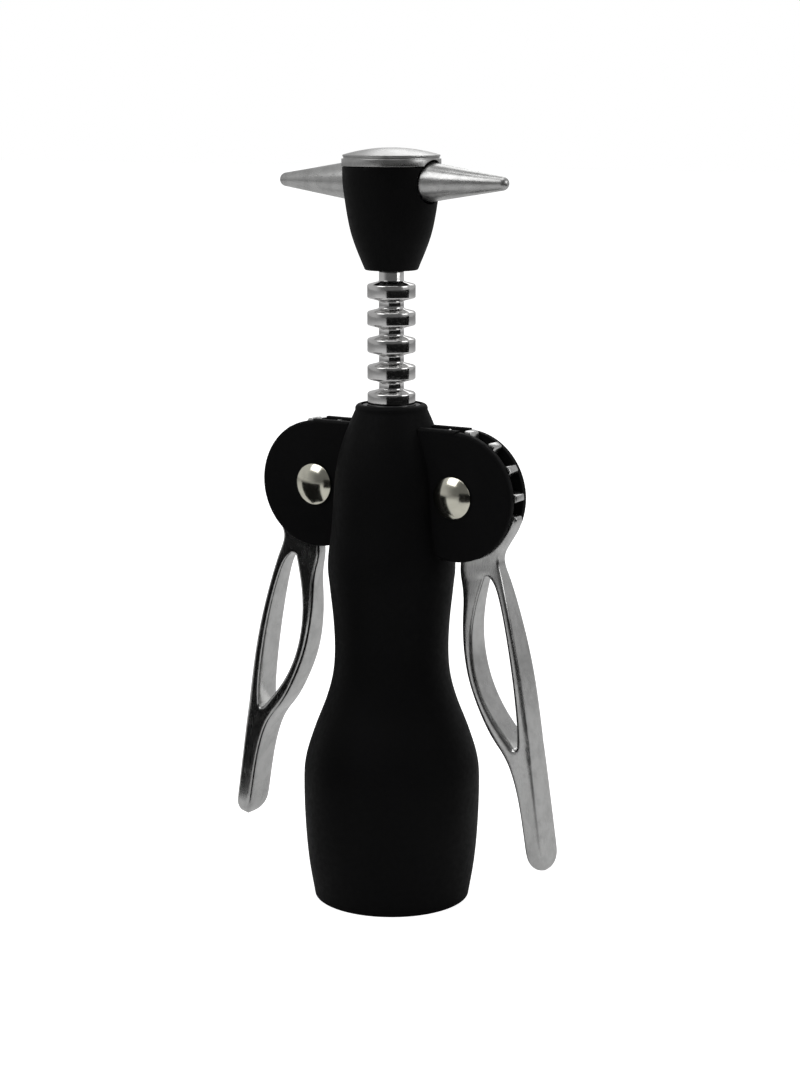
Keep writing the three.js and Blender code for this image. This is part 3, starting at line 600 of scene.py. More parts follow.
class CORKSCREW_OT_stage(bpy.types.Operator):
    """Set up the camera, the pale floor and the soft studio light"""

    bl_idname = "corkscrew.stage"
    bl_label = "Stage"

    def execute(self, context):
        stage = settings_of(context).stage
        self.add_camera(context, stage)
        self.add_floor()
        self.add_room(context, stage)
        self.add_lights(stage)
        self.add_dark_cards()
        context.scene.view_settings.view_transform = "Standard"
        return {"FINISHED"}

    def towards_camera(self, stage, turn=0.0, elevation=None):
        """The direction from the object to the camera, turned on by an angle."""
        azimuth = stage.azimuth + turn
        rise = stage.elevation if elevation is None else elevation
        level = math.cos(rise)
        return Vector((math.sin(azimuth) * level, -math.cos(azimuth) * level, math.sin(rise)))

    def add_camera(self, context, stage):
        right = Vector((math.cos(stage.azimuth), math.sin(stage.azimuth), 0))
        aim = stage.aim_right * right + Vector((0, 0, stage.aim_height))
        back = self.towards_camera(stage)
        bpy.ops.object.camera_add(location=aim + stage.distance * back)
        camera = context.object
        camera.rotation_euler = (-back).to_track_quat("-Z", "Y").to_euler()
        camera.data.lens = stage.focal_length
        camera.data.sensor_width = 36
        camera.data.clip_start = 0.01
        context.scene.camera = camera

    def add_floor(self):
        bpy.ops.object.select_all(action="DESELECT")
        bpy.ops.mesh.primitive_plane_add(size=12)
        floor = bpy.context.object
        floor.name = "floor"
        finish = Finish("floor_paint", (0.8, 0.8, 0.8), 0.0, 0.9)
        finish.use("Specular IOR Level", 0.0)
        finish.use("Emission Color", (1, 1, 1, 1))
        glow = finish.between(finish.add("ShaderNodeLightPath").outputs["Is Camera Ray"], 0.0, 0.85, 0, 1)
        finish.use("Emission Strength", glow)
        floor.data.materials.append(finish.material)

    def add_room(self, context, stage):
        """A white room that is dark behind the camera."""
        world = bpy.data.worlds.new("studio")
        context.scene.world = world
        world.use_nodes = True
        nodes, links = world.node_tree.nodes, world.node_tree.links
        direction = nodes.new("ShaderNodeTexCoord").outputs["Generated"]
        facing = nodes.new("ShaderNodeVectorMath")
        facing.operation = "DOT_PRODUCT"
        facing.inputs[1].default_value = self.towards_camera(stage, elevation=math.radians(25))
        links.new(direction, facing.inputs[0])
        fade = nodes.new("ShaderNodeMapRange")
        fade.interpolation_type = "SMOOTHSTEP"
        sockets = ("From Min", "From Max", "To Min", "To Max")
        for socket, value in zip(sockets, (0.1, 0.8, stage.surround, stage.dark_side)):
            fade.inputs[socket].default_value = value
        links.new(facing.outputs["Value"], fade.inputs["Value"])
        seen = nodes.new("ShaderNodeLightPath").outputs["Is Camera Ray"]
        strength = nodes.new("ShaderNodeMath")
        strength.operation = "MAXIMUM"
        links.new(fade.outputs["Result"], strength.inputs[0])
        links.new(seen, strength.inputs[1])
        background = nodes["Background"]
        background.inputs["Color"].default_value = (1, 1, 1, 1)
        links.new(strength.outputs["Value"], background.inputs["Strength"])

    def add_lights(self, stage):
        """Soft boxes, by their turn from the camera, elevation, distance, size and power."""
        boxes = {
            "key_light": (-60, 45, 0.9, 0.5, 1.8),
            "side_light": (70, 25, 0.9, 0.45, 1.4),
            "top_light": (10, 82, 0.8, 0.5, 1.6),
            "rim_light": (165, 40, 1.0, 0.6, 1.6),
        }
        aim = Vector((0, 0, stage.aim_height))
        for name, (turn, elevation, distance, size, power) in boxes.items():
            back = self.towards_camera(stage, math.radians(turn), math.radians(elevation))
            bpy.ops.object.light_add(type="AREA", location=aim + distance * back)
            light = bpy.context.object
            light.name = name
            light.rotation_euler = (-back).to_track_quat("-Z", "Y").to_euler()
            light.data.size = size
            light.data.energy = power


    def add_dark_cards(self):
        """Black cards that only the metal's reflections show: an arc at right, a near one at left."""
        finish = Finish("black_card", (0.01, 0.01, 0.01), 0.0, 1.0)
        finish.use("Specular IOR Level", 0.0)
        grain = finish.noise(30 * MM)
        finish.use("Base Color", finish.blend(grain, (0.008, 0.008, 0.008), (0.014, 0.014, 0.014)))
        cards = {
            "right_card": (350 * MM, 8, 125, 160 * MM, (0, 0)),
            "near_card": (60 * MM, -58, 20, 100 * MM, (-38 * MM, 0)),
        }
        for name, (radius, start, end, high, centre) in cards.items():
            turns = [math.radians(start + (end - start) * step / 16) for step in range(17)]
            points = [
                Vector((centre[0] + radius * math.sin(turn), centre[1] - radius * math.cos(turn), 0.001))
                for turn in turns
            ]
            card = begin(name, points[0])
            draw(points)
            bpy.ops.mesh.select_all(action="SELECT")
            bpy.ops.mesh.extrude_region_move(TRANSFORM_OT_translate={"value": (0, 0, high)})
            bpy.ops.object.mode_set(mode="OBJECT")
            card.data.materials.append(finish.material)
            card.visible_camera = False
            card.visible_shadow = False
            card.visible_diffuse = False


class CORKSCREW_OT_body(bpy.types.Operator):
    """Model the body: bell, waist, neck and the cheeks of both ears"""

    bl_idname = "corkscrew.body"
    bl_label = "Body"

    ROUND = 144
    EAR_ROUND = 72
    OVERLAP = 0.01 * MM

    def execute(self, context):
        settings = settings_of(context)
        sizes, ear, bore = settings.body, settings.ear, settings.pinion.bore
        axle = AXLES["right"]
        body = turned("body_casting", self.outline(sizes), self.ROUND)
        soften(body)
        combine(body, "DIFFERENCE", *self.slot_cutters(ear, axle))
        combine(body, "UNION", *self.cheeks(ear, axle, bore))
        soften(body)
        finishes = settings.finishes
        finish = coated_black("soft_touch_black", finishes.soft_black, finishes.worn_black, 0.28 * MM, 0.62)
        hand_over(body, "body", "frame", finish)
        return {"FINISHED"}

    def outline(self, sizes):
        """The casting's side from the rim's foot up to the neck's top, and back down inside."""
        low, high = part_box("body")
        collar_low, collar_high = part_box("bottle_collar")
        bush_low, bush_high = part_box("guide_bush")
        collar_r = collar_high.x + sizes.seat_gap
        collar_top = collar_high.z + sizes.seat_gap
        bush_r = bush_high.x + sizes.seat_gap
        shelf_z = bush_low.z - sizes.seat_gap
        shelf = 5 * MM
        rim = (sizes.rim_radius, sizes.rim_edge)
        bell = (sizes.bell_radius, sizes.bell_height)
        waist = (sizes.waist_radius, sizes.waist_height)
        shoulder = (sizes.shoulder_radius, sizes.shoulder_height)
        neck = (sizes.neck_radius, sizes.neck_height)
        mouth = (sizes.mouth_radius, high.z - sizes.mouth_edge)
        side = smooth(
            [
                rim,
                *part_way(rim, bell, [(0.3, 0.54), (0.62, 0.86)]),
                bell,
                *part_way(bell, waist, [(0.2, 0.05), (0.41, 0.33), (0.64, 0.73), (0.82, 0.94)]),
                waist,
                *part_way(waist, shoulder, [(0.34, 0.19), (0.72, 0.72)]),
                shoulder,
                *part_way(shoulder, neck, [(0.45, 0.55)]),
                neck,
                *part_way(neck, mouth, [(0.45, 0.31), (0.78, 0.7)]),
                mouth,
            ],
            5,
        )
        rim_round = arc((rim[0] - rim[1], rim[1]), rim[1], -QUARTER_TURN, 0, 4)[:-1]
        edge = sizes.mouth_edge - sizes.mouth_flat
        mouth_round = arc((mouth[0] - edge, high.z - edge), edge, 0, QUARTER_TURN, 8)
        inside = [
            (bush_r, high.z),
            (bush_r, shelf_z),
            (sizes.rack_bore, shelf_z),
            (sizes.rack_bore, shelf_z - shelf),
            (sizes.neck_room, shelf_z - shelf - MM),
            (sizes.neck_room, sizes.worm_room_top + 2 * MM),
            (sizes.worm_room, sizes.worm_room_top),
            (sizes.worm_room, sizes.worm_room_foot),
            (sizes.cork_room, sizes.cork_room_top),
            (sizes.cork_room, collar_top),
            (collar_r, collar_top),
            (collar_r, rim[1]),
            (collar_r + rim[1], 0),
        ]
        return [*rim_round, *side, *mouth_round, *inside, rim_round[0]]

    def slot_cutters(self, ear, axle):
        """The rooms that the pinions turn in, through the neck's wall on both sides."""
        half_slot = ear.slot / 2 - self.OVERLAP
        half = Vector((0, half_slot, 0))
        cutters = []
        for side in (1, -1):
            centre = Vector((side * axle.x, 0, axle.z))
            cutters.append(rod("pinion_room", ear.slot_reach, centre - half, centre + half, self.EAR_ROUND))
            start, end = side * ear.slot_start, side * (axle.x + ear.radius)
            low = Vector((min(start, end), -half_slot, axle.z))
            high = Vector((max(start, end), half_slot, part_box("body")[1].z + MM))
            cutters.append(block("open_top", low, high))
        return cutters

    def cheek_outline(self, ear, axle):
        flat_x = axle.x + ear.flat_end
        start = math.acos(ear.flat_end / ear.radius)
        end = -math.acos((ear.root - axle.x) / ear.radius)
        rim = arc((axle.x, axle.z), ear.radius, start, end, self.EAR_ROUND)
        top_start = (ear.root, ear.flat_height)
        return [top_start, (flat_x, ear.flat_height), *rim, top_start]

    def cheeks(self, ear, axle, bore):
        """The four cheeks: one is modelled, and the others are its mirror images."""
        inner, outer = ear.slot / 2, ear.thickness / 2
        cheek = plate("cheek", self.cheek_outline(ear, axle), inner, outer)
        for height, width, segments in ((outer, ear.outer_edge, 5), (inner, ear.inner_edge, 2)):
            self.round_face(cheek, height, width, segments)
        reach = Vector((0, ear.thickness, 0))
        combine(cheek, "DIFFERENCE", rod("axle_bore", bore, axle - reach, axle + reach, 48))
        modify(cheek, "MIRROR", use_axis=(False, True, False), use_mirror_merge=False)
        other = half_turned(cheek, "cheek_left")
        return [cheek, other]

    def round_face(self, cheek, height, width, segments):
        """Rounds the edges round the face of a cheek that lies at a height along Y."""
        choose(cheek)
        bpy.ops.object.mode_set(mode="EDIT")
        bpy.ops.mesh.select_mode(type="EDGE")
        bpy.ops.mesh.select_all(action="DESELECT")
        mesh = bmesh.from_edit_mesh(cheek.data)
        for edge in mesh.edges:
            edge.select = all(abs(vertex.co.y - height) < WELD for vertex in edge.verts)
        bmesh.update_edit_mesh(cheek.data)
        bpy.ops.mesh.bevel(offset=width, segments=segments, affect="EDGES")
        bpy.ops.object.mode_set(mode="OBJECT")


class CORKSCREW_OT_inner_rings(bpy.types.Operator):
    """Model the bottle collar in the bell's mouth and the bush in the neck's top"""

    bl_idname = "corkscrew.inner_rings"
    bl_label = "Collar and bush"

    def execute(self, context):
        settings = settings_of(context)
        finish = moulded_plastic("moulded_black", settings.finishes.plastic, 0.42)
        low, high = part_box("bottle_collar")
        outer = high.x
        lip, hole, roof, lead = 15.75 * MM, 12.8 * MM, 2 * MM, 0.5 * MM
        seat = high.z - roof
        collar = turned(
            "bottle_collar_ring",
            [
                (lip + lead, low.z),
                (outer, low.z),
                (outer, high.z),
                (hole, high.z),
                (hole, seat),
                (lip, seat),
                (lip + lead, low.z),
            ],
            128,
        )
        round_edges(collar, 0.3 * MM)
        hand_over(soften(collar), "bottle_collar", "frame", finish)
        low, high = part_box("guide_bush")
        bore, outer = settings.rack.pitch_radius + 0.67 * MM, high.x
        bush = turned(
            "guide_bush_ring",
            [(bore, low.z), (outer, low.z), (outer, high.z), (bore, high.z), (bore, low.z)],
            96,
        )
        round_edges(bush, 0.2 * MM)
        hand_over(soften(bush), "guide_bush", "frame", finish)
        self.finish_hidden_rings(settings, finish)
        return {"FINISHED"}

    def finish_hidden_rings(self, settings, plastic):
        """The washers, retaining collar, crossbar and nut keep their plain shapes."""
        steel = satin_metal("turned_steel", settings.finishes.steel, 0.3, (1, 1, 1))
        for node in ("upper_thrust_washer", "lower_thrust_washer"):
            frame["nodes"][node].data.materials.clear()
            frame["nodes"][node].data.materials.append(plastic)
        for node in ("retaining_collar", "crossbar", "crossbar_nut"):
            frame["nodes"][node].data.materials.clear()
            frame["nodes"][node].data.materials.append(steel)


class CORKSCREW_OT_rack(bpy.types.Operator):
    """Model the rack: a sleeve with ten rounded rings"""

    bl_idname = "corkscrew.rack"
    bl_label = "Rack"

    def execute(self, context):
        settings = settings_of(context)
        sizes = settings.rack
        low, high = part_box("rack_sleeve")
        slope = math.tan(sizes.pressure_angle)
        at_rim = sizes.ring_thickness / 2 - (high.x - sizes.pitch_radius) * slope
        at_core = sizes.ring_thickness / 2 + (sizes.pitch_radius - sizes.core_radius) * slope
        top_ring = high.z - sizes.neck_length - sizes.ring_thickness / 2
        outline = [(sizes.bore, low.z), (sizes.core_radius, low.z)]
        for number in reversed(range(sizes.rings)):
            z = top_ring - number * sizes.pitch
            outline += [(sizes.core_radius, z - at_core), (high.x, z - at_rim)]
            outline += [(high.x, z + at_rim), (sizes.core_radius, z + at_core)]
        outline += [(sizes.core_radius, high.z), (sizes.bore, high.z), (sizes.bore, low.z)]
        rack = turned("rack_rings", outline, 96)
        round_edges(rack, sizes.edge)
        finish = bright_plating("bright_chrome", settings.finishes.chrome, 0.1)
        hand_over(soften(rack), "rack_sleeve", "rack", finish)
        return {"FINISHED"}


class CORKSCREW_OT_worm(bpy.types.Operator):
    """Model the worm: a wire helix with a ground point and a straight shank"""

    bl_idname = "corkscrew.worm"
    bl_label = "Worm"

    STEPS_A_TURN = 40

    def execute(self, context):
        settings = settings_of(context)
        sizes = settings.worm
        path = self.path(sizes)
        bpy.ops.object.select_all(action="DESELECT")
        bpy.ops.curve.primitive_nurbs_path_add()
        wire = context.object
        wire.name = "worm_wire"
        wire.data.name = "worm_wire"
        wire.data.splines.clear()
        spline = wire.data.splines.new("POLY")
        spline.points.add(len(path) - 1)
        for point, (place, radius) in zip(spline.points, path):
            point.co = (*place, 1)
            point.radius = radius
        wire.data.bevel_depth = sizes.wire
        wire.data.bevel_resolution = 6
        wire.data.use_fill_caps = True
        choose(wire)
        bpy.ops.object.convert(target="MESH")
        wire = context.object
        bpy.ops.object.mode_set(mode="EDIT")
        tidy_mesh()
        bpy.ops.object.mode_set(mode="OBJECT")
        finish = satin_metal("drawn_steel", settings.finishes.steel, 0.24, (1, 1, 1))
        hand_over(soften(wire), "worm", "spindle", finish)
        return {"FINISHED"}

    def path(self, sizes):
        """The wire's centre line from the point up to the shank's end, with its thickness."""
        helix = sizes.radius - sizes.wire
        height = sizes.pitch * sizes.turns
        top = sizes.tip_height + height
        per_turn = math.hypot(TURN * helix, sizes.pitch)
        steps = round(self.STEPS_A_TURN * sizes.turns)
        point_turns = sizes.point / per_turn
        path = []
        for step in range(-8, steps + 1):
            up = step / self.STEPS_A_TURN if step > 0 else step / 8 * point_turns
            turns = sizes.turns - up
            run_in = min(1.0, max(0.0, turns / 0.8))
            out = helix * run_in**2 * (3 - 2 * run_in)
            place = (
                out * math.cos(-TURN * turns),
                out * math.sin(-TURN * turns),
                top - sizes.pitch * turns,
            )
            thickness = 1.0 if step >= 0 else max(0.04, math.sqrt(1 + step / 8))
            path.append((place, thickness))
        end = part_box("worm")[1].z
        path += [((0, 0, end - 0.3 * MM), 1.0), ((0, 0, end), 0.8)]
        return path


class CORKSCREW_OT_knob(bpy.types.Operator):
    """Model the knob, its cap and the two handle cones"""

    bl_idname = "corkscrew.knob"
    bl_label = "Knob, cap and cones"

    ROUND = 144

    def execute(self, context):
        settings = settings_of(context)
        sizes = settings.knob
        bar_z = sum(corner.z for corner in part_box("handle_cone_right")) / 2
        self.make_knob(settings, sizes, bar_z)
        self.make_cap(settings, sizes, bar_z)
        self.make_cones(settings, sizes, bar_z)
        return {"FINISHED"}

    def pockets(self, sizes, bar_z):
        """Cutters for the round recesses that the cones stand in."""
        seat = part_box("handle_cone_right")[0].x - 0.15 * MM
        end = sizes.radius + 3 * MM
        return [
            rod("cone_pocket", sizes.cone_pocket, (side * seat, 0, bar_z), (side * end, 0, bar_z), 96)
            for side in (1, -1)
        ]

    def make_knob(self, settings, sizes, bar_z):
        low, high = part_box("knob")
        foot, top = low.z, high.z
        wide, tall = sizes.radius - sizes.foot_radius, top - foot
        side = smooth(
            [
                (sizes.foot_radius, foot),
                (sizes.foot_radius + 0.62 * wide, foot + 0.36 * tall),
                (sizes.foot_radius + 0.95 * wide, foot + 0.78 * tall),
                (sizes.radius, top),
            ],
            10,
        )
        bore = settings.rack.bore
        recess_top = foot + sizes.washer_depth
        inside = [
            (sizes.pocket, top),
            (sizes.pocket, bar_z),
            (bore, bar_z),
            (bore, recess_top),
            (sizes.washer_recess, recess_top),
            (sizes.washer_recess, foot),
        ]
        knob = turned("knob_grip", [*side, *inside, side[0]], self.ROUND)
        round_edges(knob, sizes.edge, 4)
        reach = sizes.radius - 2 * MM
        bar_hole = rod("bar_hole", sizes.bar_radius + 0.1 * MM, (-reach, 0, bar_z), (reach, 0, bar_z), 48)
        combine(knob, "DIFFERENCE", *self.pockets(sizes, bar_z), bar_hole)
        finishes = settings.finishes
        finish = coated_black("moulded_knob_black", finishes.knob_black, finishes.worn_black, 0.22 * MM, 0.55)
        hand_over(soften(knob), "knob", "spindle", finish)

    def make_cap(self, settings, sizes, bar_z):
        low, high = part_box("knob_cap")
        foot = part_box("knob")[1].z + 0.15 * MM
        band_top = foot + sizes.skirt
        groove_top = band_top + sizes.groove
        groove_r = high.x - sizes.groove_depth
        rise = high.z - groove_top - 0.4 * MM
        dome_r = (sizes.dome_radius**2 + rise**2) / (2 * rise)
        steps = 24
        dome = []
        for step in range(steps + 1):
            radius = sizes.dome_radius * (1 - step / steps)
            dome.append((radius, high.z - dome_r + math.sqrt(dome_r**2 - radius**2)))
        spigot, wall = sizes.pocket - 0.15 * MM, 0.9 * MM
        roof = foot + 1.8 * MM
        outline = [
            (0, roof),
            (spigot - wall, roof),
            (spigot - wall, low.z),
            (spigot, low.z),
            (spigot, foot),
            (high.x, foot),
            (high.x, band_top),
            (groove_r, band_top),
            (groove_r, groove_top),
            (sizes.dome_radius, groove_top),
            *dome,
        ]
        cap = turned("knob_cap_dome", outline, self.ROUND)
        round_edges(cap, 0.18 * MM, 3)
        combine(cap, "DIFFERENCE", *self.pockets(sizes, bar_z))
        finish = satin_metal("satin_cap", settings.finishes.cap_zinc, 0.3, (1, 1, 1))
        hand_over(soften(cap), "knob_cap", "spindle", finish)

    def make_cones(self, settings, sizes, bar_z):
        low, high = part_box("handle_cone_right")
        seat, end = low.x, high.x
        collar_end = seat + sizes.cone_collar
        tip_centre = end - sizes.cone_tip
        slope = math.asin((sizes.cone_radius - sizes.cone_tip) / (tip_centre - collar_end))
        tip = arc((0, tip_centre), sizes.cone_tip, slope, QUARTER_TURN, 16)
        bore, bore_end = sizes.bar_radius + 0.1 * MM, seat + sizes.bar_grip + 0.5 * MM
        outline = [
            (0, bore_end),
            (bore, bore_end),
            (bore, seat),
            (sizes.cone_radius, seat),
            (sizes.cone_radius, collar_end),
            *tip,
        ]
        cone = turned("cone_right", outline, 96)
        round_edges(cone, 0.35 * MM, 4)
        cone.matrix_world = Matrix.Translation((0, 0, bar_z)) @ Matrix.Rotation(QUARTER_TURN, 4, "Y")
        settle(cone)
        soften(cone)
        other = half_turned(cone, "cone_left")
        finish = satin_metal("satin_cones", settings.finishes.cone_zinc, 0.29, (14, 1, 1))
        hand_over(cone, "handle_cone_right", "spindle", finish)
        hand_over(other, "handle_cone_left", "spindle", finish)


class CORKSCREW_OT_levers(bpy.types.Operator):
    """Model the two levers: open handle, root and pinion teeth"""

    bl_idname = "corkscrew.levers"
    bl_label = "Levers"

    def execute(self, context):
        settings = settings_of(context)
        sizes, pinion, rack = settings.lever, settings.pinion, settings.rack
        lever = self.handle(sizes, pinion)
        combine(lever, "UNION", self.pinion(sizes, pinion, rack))
        axle = AXLES["right"]
        lever.matrix_world = Matrix.Translation(axle) @ Matrix.Rotation(-sizes.rest_angle, 4, "Y")
        settle(lever)
        soften(lever)
        lever.name = lever.data.name = "lever_casting_right"
        other = half_turned(lever, "lever_casting_left")
        finish = satin_metal("satin_zinc", settings.finishes.zinc, 0.22, (1, 1, 16))
        hand_over(lever, "lever_right", "right_lever", finish)
        hand_over(other, "lever_left", "left_lever", finish)
        return {"FINISHED"}

    # The lever is modelled about its axle, hanging straight down, with +X outwards.

    def outer_side(self, sizes):
        reach = sizes.reach
        shoulder = math.radians(23)
        points = [
            (sizes.root_radius * math.sin(shoulder), -sizes.root_radius * math.cos(shoulder)),
            (7.4 * MM, -0.25 * reach),
            (7.6 * MM, -0.357 * reach),
            (7.3 * MM, -0.476 * reach),
            (6.1 * MM, -0.61 * reach),
            (4.3 * MM, -0.77 * reach),
        ]
        end = self.tip(sizes, 1)
        return [*smooth([*points, end[0]], 8), *end]

    def tip(self, sizes, side):
        """One side of the tip, an ellipse as long as the tip is wide."""
        high, thick = sizes.tip_width / 2, sizes.tip_thickness / 2
        turns = [QUARTER_TURN * step / 24 for step in range(25)]
        return [
            (
                sizes.tip_out + side * thick * math.cos(turn),
                high - sizes.reach - high * math.sin(turn),
            )
            for turn in turns
        ]

    def inner_side(self, sizes):
        reach = sizes.reach
        points = [
            (2 * MM, -6 * MM),
            (-3.7 * MM, -0.17 * reach),
            (-4.55 * MM, -0.26 * reach),
            (-6.65 * MM, -0.35 * reach),
            (-7.55 * MM, -0.47 * reach),
            (-5.25 * MM, -0.607 * reach),
            (-1.6 * MM, -0.698 * reach),
            (-0.85 * MM, -0.765 * reach),
            (-0.95 * MM, -0.83 * reach),
        ]
        end = self.tip(sizes, -1)
        return [*smooth([*points, end[0]], 8), *end]

    def eye_outer(self, sizes):
        reach = sizes.reach
        points = [
            (3.4 * MM, -0.216 * reach),
            (4.9 * MM, -0.24 * reach),
            (5.5 * MM, -0.3 * reach),
            (5.4 * MM, -0.4 * reach),
            (4.6 * MM, -0.51 * reach),
            (3.2 * MM, -0.615 * reach),
            (1.8 * MM, -0.668 * reach),
        ]
        return smooth(points, 8)

    def eye_inner(self, sizes):
        reach = sizes.reach
        points = [
            (2.6 * MM, -0.216 * reach),
            (1.7 * MM, -0.23 * reach),
            (-1.2 * MM, -0.285 * reach),
            (-3.9 * MM, -0.355 * reach),
            (-5.25 * MM, -0.45 * reach),
            (-4.25 * MM, -0.54 * reach),
            (-1.6 * MM, -0.612 * reach),
            (1.1 * MM, -0.668 * reach),
        ]
        return smooth(points, 8)

    def half_width(self, sizes, pinion, height):
        """Half the handle's width along Y: the pinion's at the root, swelling to a round tip."""
        root, tip = pinion.width / 2, sizes.tip_width / 2
        tip_centre = tip - sizes.reach
        if height < tip_centre:
            return math.sqrt(max(0.0, tip**2 - (height - tip_centre) ** 2))
        side = smooth(
            [
                (root, 0),
                (root, -0.17 * sizes.reach),
                (0.65 * root + 0.35 * tip, -0.27 * sizes.reach),
                (0.25 * root + 0.75 * tip, -0.42 * sizes.reach),
                (0.96 * tip, -0.6 * sizes.reach),
                (tip, tip_centre),
            ],
            6,
        )
        return at_height(side, height)

    def row_heights(self, sizes):
        """The heights of the handle's rows, and which rows the eye runs between."""
        reach = sizes.reach
        above = [-0.075, -0.12, -0.165, -0.195]
        eye = [-0.216 - 0.452 * (1 - math.cos(HALF_TURN * step / 13)) / 2 for step in range(14)]
        below = [-0.7, -0.74, -0.785, -0.83, -0.875, -0.915]
        heights = [share * reach for share in (*above, *eye, *below)]
        tip = sizes.tip_width / 2
        turns = [math.radians(turn) for turn in (0, 22, 42, 58, 71, 81, 87)]
        heights += [tip - reach - tip * math.sin(turn) for turn in turns]
        return heights, len(above), len(above) + len(eye) - 1

    def row(self, sizes, height, sides, has_eye):
        """Four places across the handle at a height, from its inner to its outer side."""
        inner, eye_in, eye_out, outer = sides
        left, right = at_height(inner, height), at_height(outer, height)
        shoulder = math.radians(23)
        if height > -sizes.root_radius * math.cos(shoulder):
            right = math.sqrt(sizes.root_radius**2 - height**2)
        if has_eye:
            return [left, at_height(eye_in, height), at_height(eye_out, height), right]
        return [left, left + (right - left) / 3, left + 2 * (right - left) / 3, right]

    def handle(self, sizes, pinion):
        """A grid laid to the handle's shape, its eye cut out, given its width and smoothed."""
        heights, eye_first, eye_last = self.row_heights(sizes)
        sides = [side(sizes) for side in (self.inner_side, self.eye_inner, self.eye_outer, self.outer_side)]
        bpy.ops.object.select_all(action="DESELECT")
        bpy.ops.mesh.primitive_grid_add(x_subdivisions=3, y_subdivisions=len(heights) - 1, size=1)
        handle = bpy.context.object
        handle.name = "lever_casting"
        places = {}
        for number, height in enumerate(heights):
            has_eye = eye_first <= number <= eye_last
            for column, x in enumerate(self.row(sizes, height, sides, has_eye)):
                places[column, number] = (x, height)
        eye_low, eye_high = heights[eye_last], heights[eye_first]
        bpy.ops.object.mode_set(mode="EDIT")
        mesh = bmesh.from_edit_mesh(handle.data)
        last = len(heights) - 1
        columns = {}
        for vertex in mesh.verts:
            column = round((vertex.co.x + 0.5) * 3)
            number = last - round((vertex.co.y + 0.5) * last)
            columns[vertex.index] = (column, number)
            x, z = places[column, number]
            vertex.co = (x, 0, z)
        bpy.ops.mesh.select_mode(type="FACE")
        bpy.ops.mesh.select_all(action="DESELECT")
        for face in mesh.faces:
            corners = [columns[vertex.index] for vertex in face.verts]
            middle = {column for column, _ in corners} == {1, 2}
            in_eye = all(eye_first <= number <= eye_last for _, number in corners)
            face.select = middle and in_eye
        bmesh.update_edit_mesh(handle.data)
        bpy.ops.mesh.delete(type="FACE")
        bpy.ops.mesh.select_all(action="SELECT")
        for start, end in ((0, 0.4), (0.4, 1.6), (1.6, 2)):
            bpy.ops.mesh.extrude_region_move(TRANSFORM_OT_translate={"value": (0, end - start, 0)})
        bpy.ops.mesh.select_all(action="SELECT")
        bpy.ops.mesh.normals_make_consistent(inside=False)
        mesh = bmesh.from_edit_mesh(handle.data)
        for vertex in mesh.verts:
            vertex.co.y = (vertex.co.y - 1) * self.half_width(sizes, pinion, vertex.co.z)
        bmesh.update_edit_mesh(handle.data)
        bpy.ops.object.mode_set(mode="OBJECT")
        return modify(handle, "SUBSURF", levels=3, render_levels=3)

    def half_tooth(self, pinion, rack, radius):
        """Half a tooth's angle at a radius, on involute flanks."""
        pitch_r = pinion.teeth * rack.pitch / TURN
        base_r = pitch_r * math.cos(rack.pressure_angle)
        involute = [math.tan(turn) - turn for turn in (rack.pressure_angle, math.acos(min(1, base_r / radius)))]
        at_pitch = (rack.pitch - rack.ring_thickness - pinion.backlash) / (2 * pitch_r)
        return at_pitch + involute[0] - involute[1]

    def pinion(self, sizes, pinion, rack):
        """The toothed root, with teeth from under the rack round to the ear's rim."""
        flank_steps = 5
        radii = [
            pinion.root_radius + (pinion.tip_radius - pinion.root_radius) * step / flank_steps
            for step in range(flank_steps + 1)
        ]
        first = -QUARTER_TURN - pinion.first_tooth + sizes.rest_angle
        outline = []
        for number in range(pinion.teeth_cut):
            centre = first + TURN * number / pinion.teeth
            flank = [(radius, self.half_tooth(pinion, rack, radius)) for radius in radii]
            for radius, half in flank:
                outline.append(self.clockwise(radius, centre - half))
            for radius, half in reversed(flank):
                outline.append(self.clockwise(radius, centre + half))
        half = self.half_tooth(pinion, rack, pinion.root_radius)
        start = first + TURN * (pinion.teeth_cut - 1) / pinion.teeth + half
        end = first + TURN - half
        back_steps = 40
        for step in range(1, back_steps + 1):
            outline.append(self.clockwise(pinion.root_radius, start + (end - start) * step / back_steps))
        wheel = plate("pinion", outline, -pinion.width / 2, pinion.width / 2)
        round_edges(wheel, pinion.edge, 2)
        reach = Vector((0, pinion.width, 0))
        return combine(wheel, "DIFFERENCE", rod("axle_bore", pinion.bore, -reach, reach, 48))

    def clockwise(self, radius, turn):
        return (radius * math.sin(turn), radius * math.cos(turn))


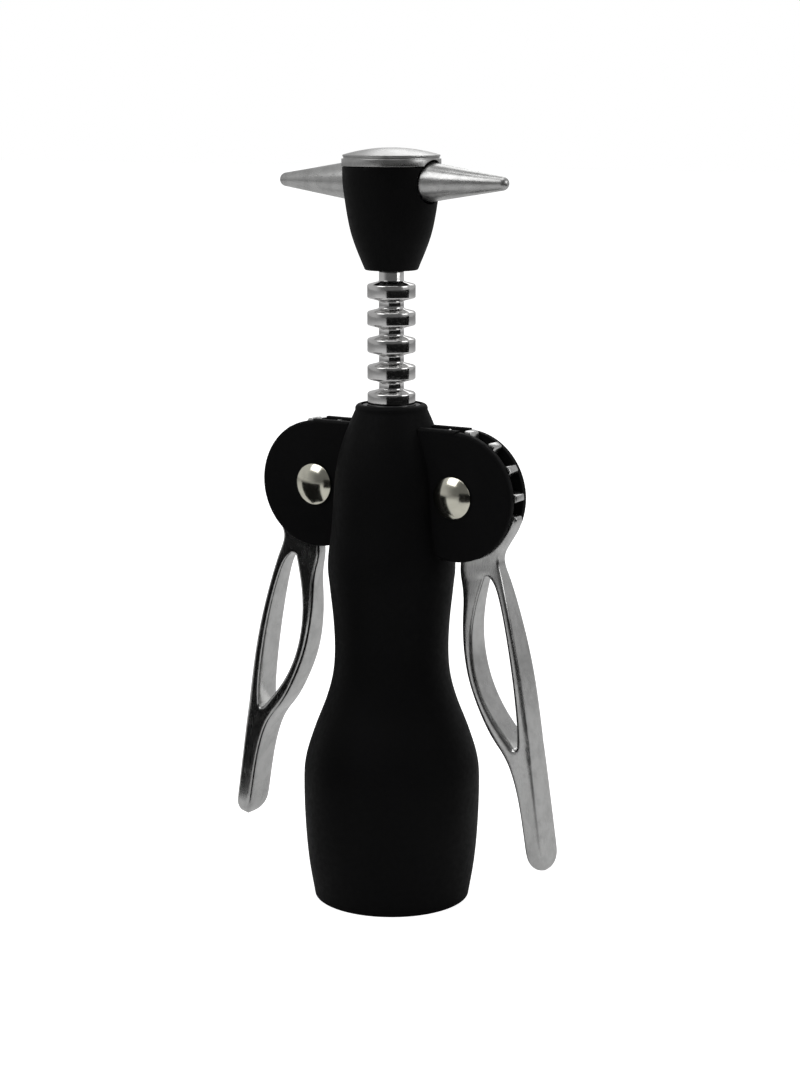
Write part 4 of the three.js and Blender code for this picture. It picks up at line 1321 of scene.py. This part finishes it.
class CORKSCREW_OT_axles(bpy.types.Operator):
    """Model the axle pins and the domed caps on their front ends"""

    bl_idname = "corkscrew.axles"
    bl_label = "Axles"

    def execute(self, context):
        settings = settings_of(context)
        sizes = settings.axle
        finish = bright_plating("warm_nickel", settings.finishes.nickel, 0.13)
        low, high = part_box("axle_cap_right")
        head_r, head = (high.x - low.x) / 2, high.y - low.y
        cap_foot = high.y
        pin_low, pin_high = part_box("axle_pin_right")
        pin_foot = pin_high.y - head
        dome = self.dome(sizes, head_r, head)
        bore = sizes.tail_radius + 0.1 * MM
        bore_end = 1.3 * MM
        cap_outline = [(0, bore_end), (bore, bore_end), (bore, 0), (head_r, 0), *dome]
        cap = turned("rivet_cap_right", cap_outline, 96)
        shank = pin_foot - pin_low.y
        tail_end = sizes.tail_length
        pin_outline = [
            (0, -shank),
            (sizes.tail_radius, -shank),
            (sizes.tail_radius, tail_end - shank),
            (sizes.pin_radius, tail_end - shank),
            (sizes.pin_radius, 0),
            (head_r, 0),
            *dome,
        ]
        pin = turned("axle_pin_right_turned", pin_outline, 96)
        axle = AXLES["right"]
        places = ((cap, cap_foot, QUARTER_TURN), (pin, pin_foot, -QUARTER_TURN))
        for piece, foot, turn in places:
            round_edges(piece, sizes.head_edge, 3)
            matrix = Matrix.Translation(axle + Vector((0, foot, 0))) @ Matrix.Rotation(turn, 4, "X")
            piece.matrix_world = matrix
            settle(piece)
            soften(piece)
        across = Matrix.Translation((-2 * axle.x, 0, 0))
        other_cap = twin(cap, "rivet_cap_left", across)
        other_pin = twin(pin, "axle_pin_left_turned", across)
        for piece, node in (
            (cap, "axle_cap_right"),
            (pin, "axle_pin_right"),
            (other_cap, "axle_cap_left"),
            (other_pin, "axle_pin_left"),
        ):
            hand_over(piece, node, "frame", finish)
        return {"FINISHED"}

    def dome(self, sizes, head_r, head):
        """A low dome's side, from its rim to its middle."""
        rise = head - sizes.head_rim
        dome_r = (head_r**2 + rise**2) / (2 * rise)
        steps = 16
        radii = [head_r * (1 - step / steps) for step in range(steps + 1)]
        return [(radius, head - dome_r + math.sqrt(dome_r**2 - radius**2)) for radius in radii]


class CORKSCREW_PT_pieces(bpy.types.Panel):
    """The steps that make the corkscrew, in their order"""

    bl_idname = "CORKSCREW_PT_pieces"
    bl_label = "Corkscrew"
    bl_space_type = "VIEW_3D"
    bl_region_type = "UI"
    bl_category = "Corkscrew"

    def draw(self, context):
        for step in STEPS:
            self.layout.operator(step.bl_idname)


SETTINGS = (
    BodySizes,
    EarSizes,
    RackSizes,
    PinionSizes,
    LeverSizes,
    WormSizes,
    KnobSizes,
    AxleSizes,
    Finishes,
    StageSettings,
    CorkscrewSettings,
)
STEPS = (
    CORKSCREW_OT_stage,
    CORKSCREW_OT_body,
    CORKSCREW_OT_inner_rings,
    CORKSCREW_OT_rack,
    CORKSCREW_OT_worm,
    CORKSCREW_OT_knob,
    CORKSCREW_OT_levers,
    CORKSCREW_OT_axles,
)


def register():
    for made in (*SETTINGS, *STEPS, CORKSCREW_PT_pieces):
        bpy.utils.register_class(made)
    bpy.types.Scene.corkscrew = PointerProperty(type=CorkscrewSettings)


def unregister():
    del bpy.types.Scene.corkscrew
    for made in reversed((*SETTINGS, *STEPS, CORKSCREW_PT_pieces)):
        bpy.utils.unregister_class(made)


def main():
    register()
    for step in STEPS:
        group, name = step.bl_idname.split(".")
        getattr(getattr(bpy.ops, group), name)()


if __name__ == "__main__":
    main()
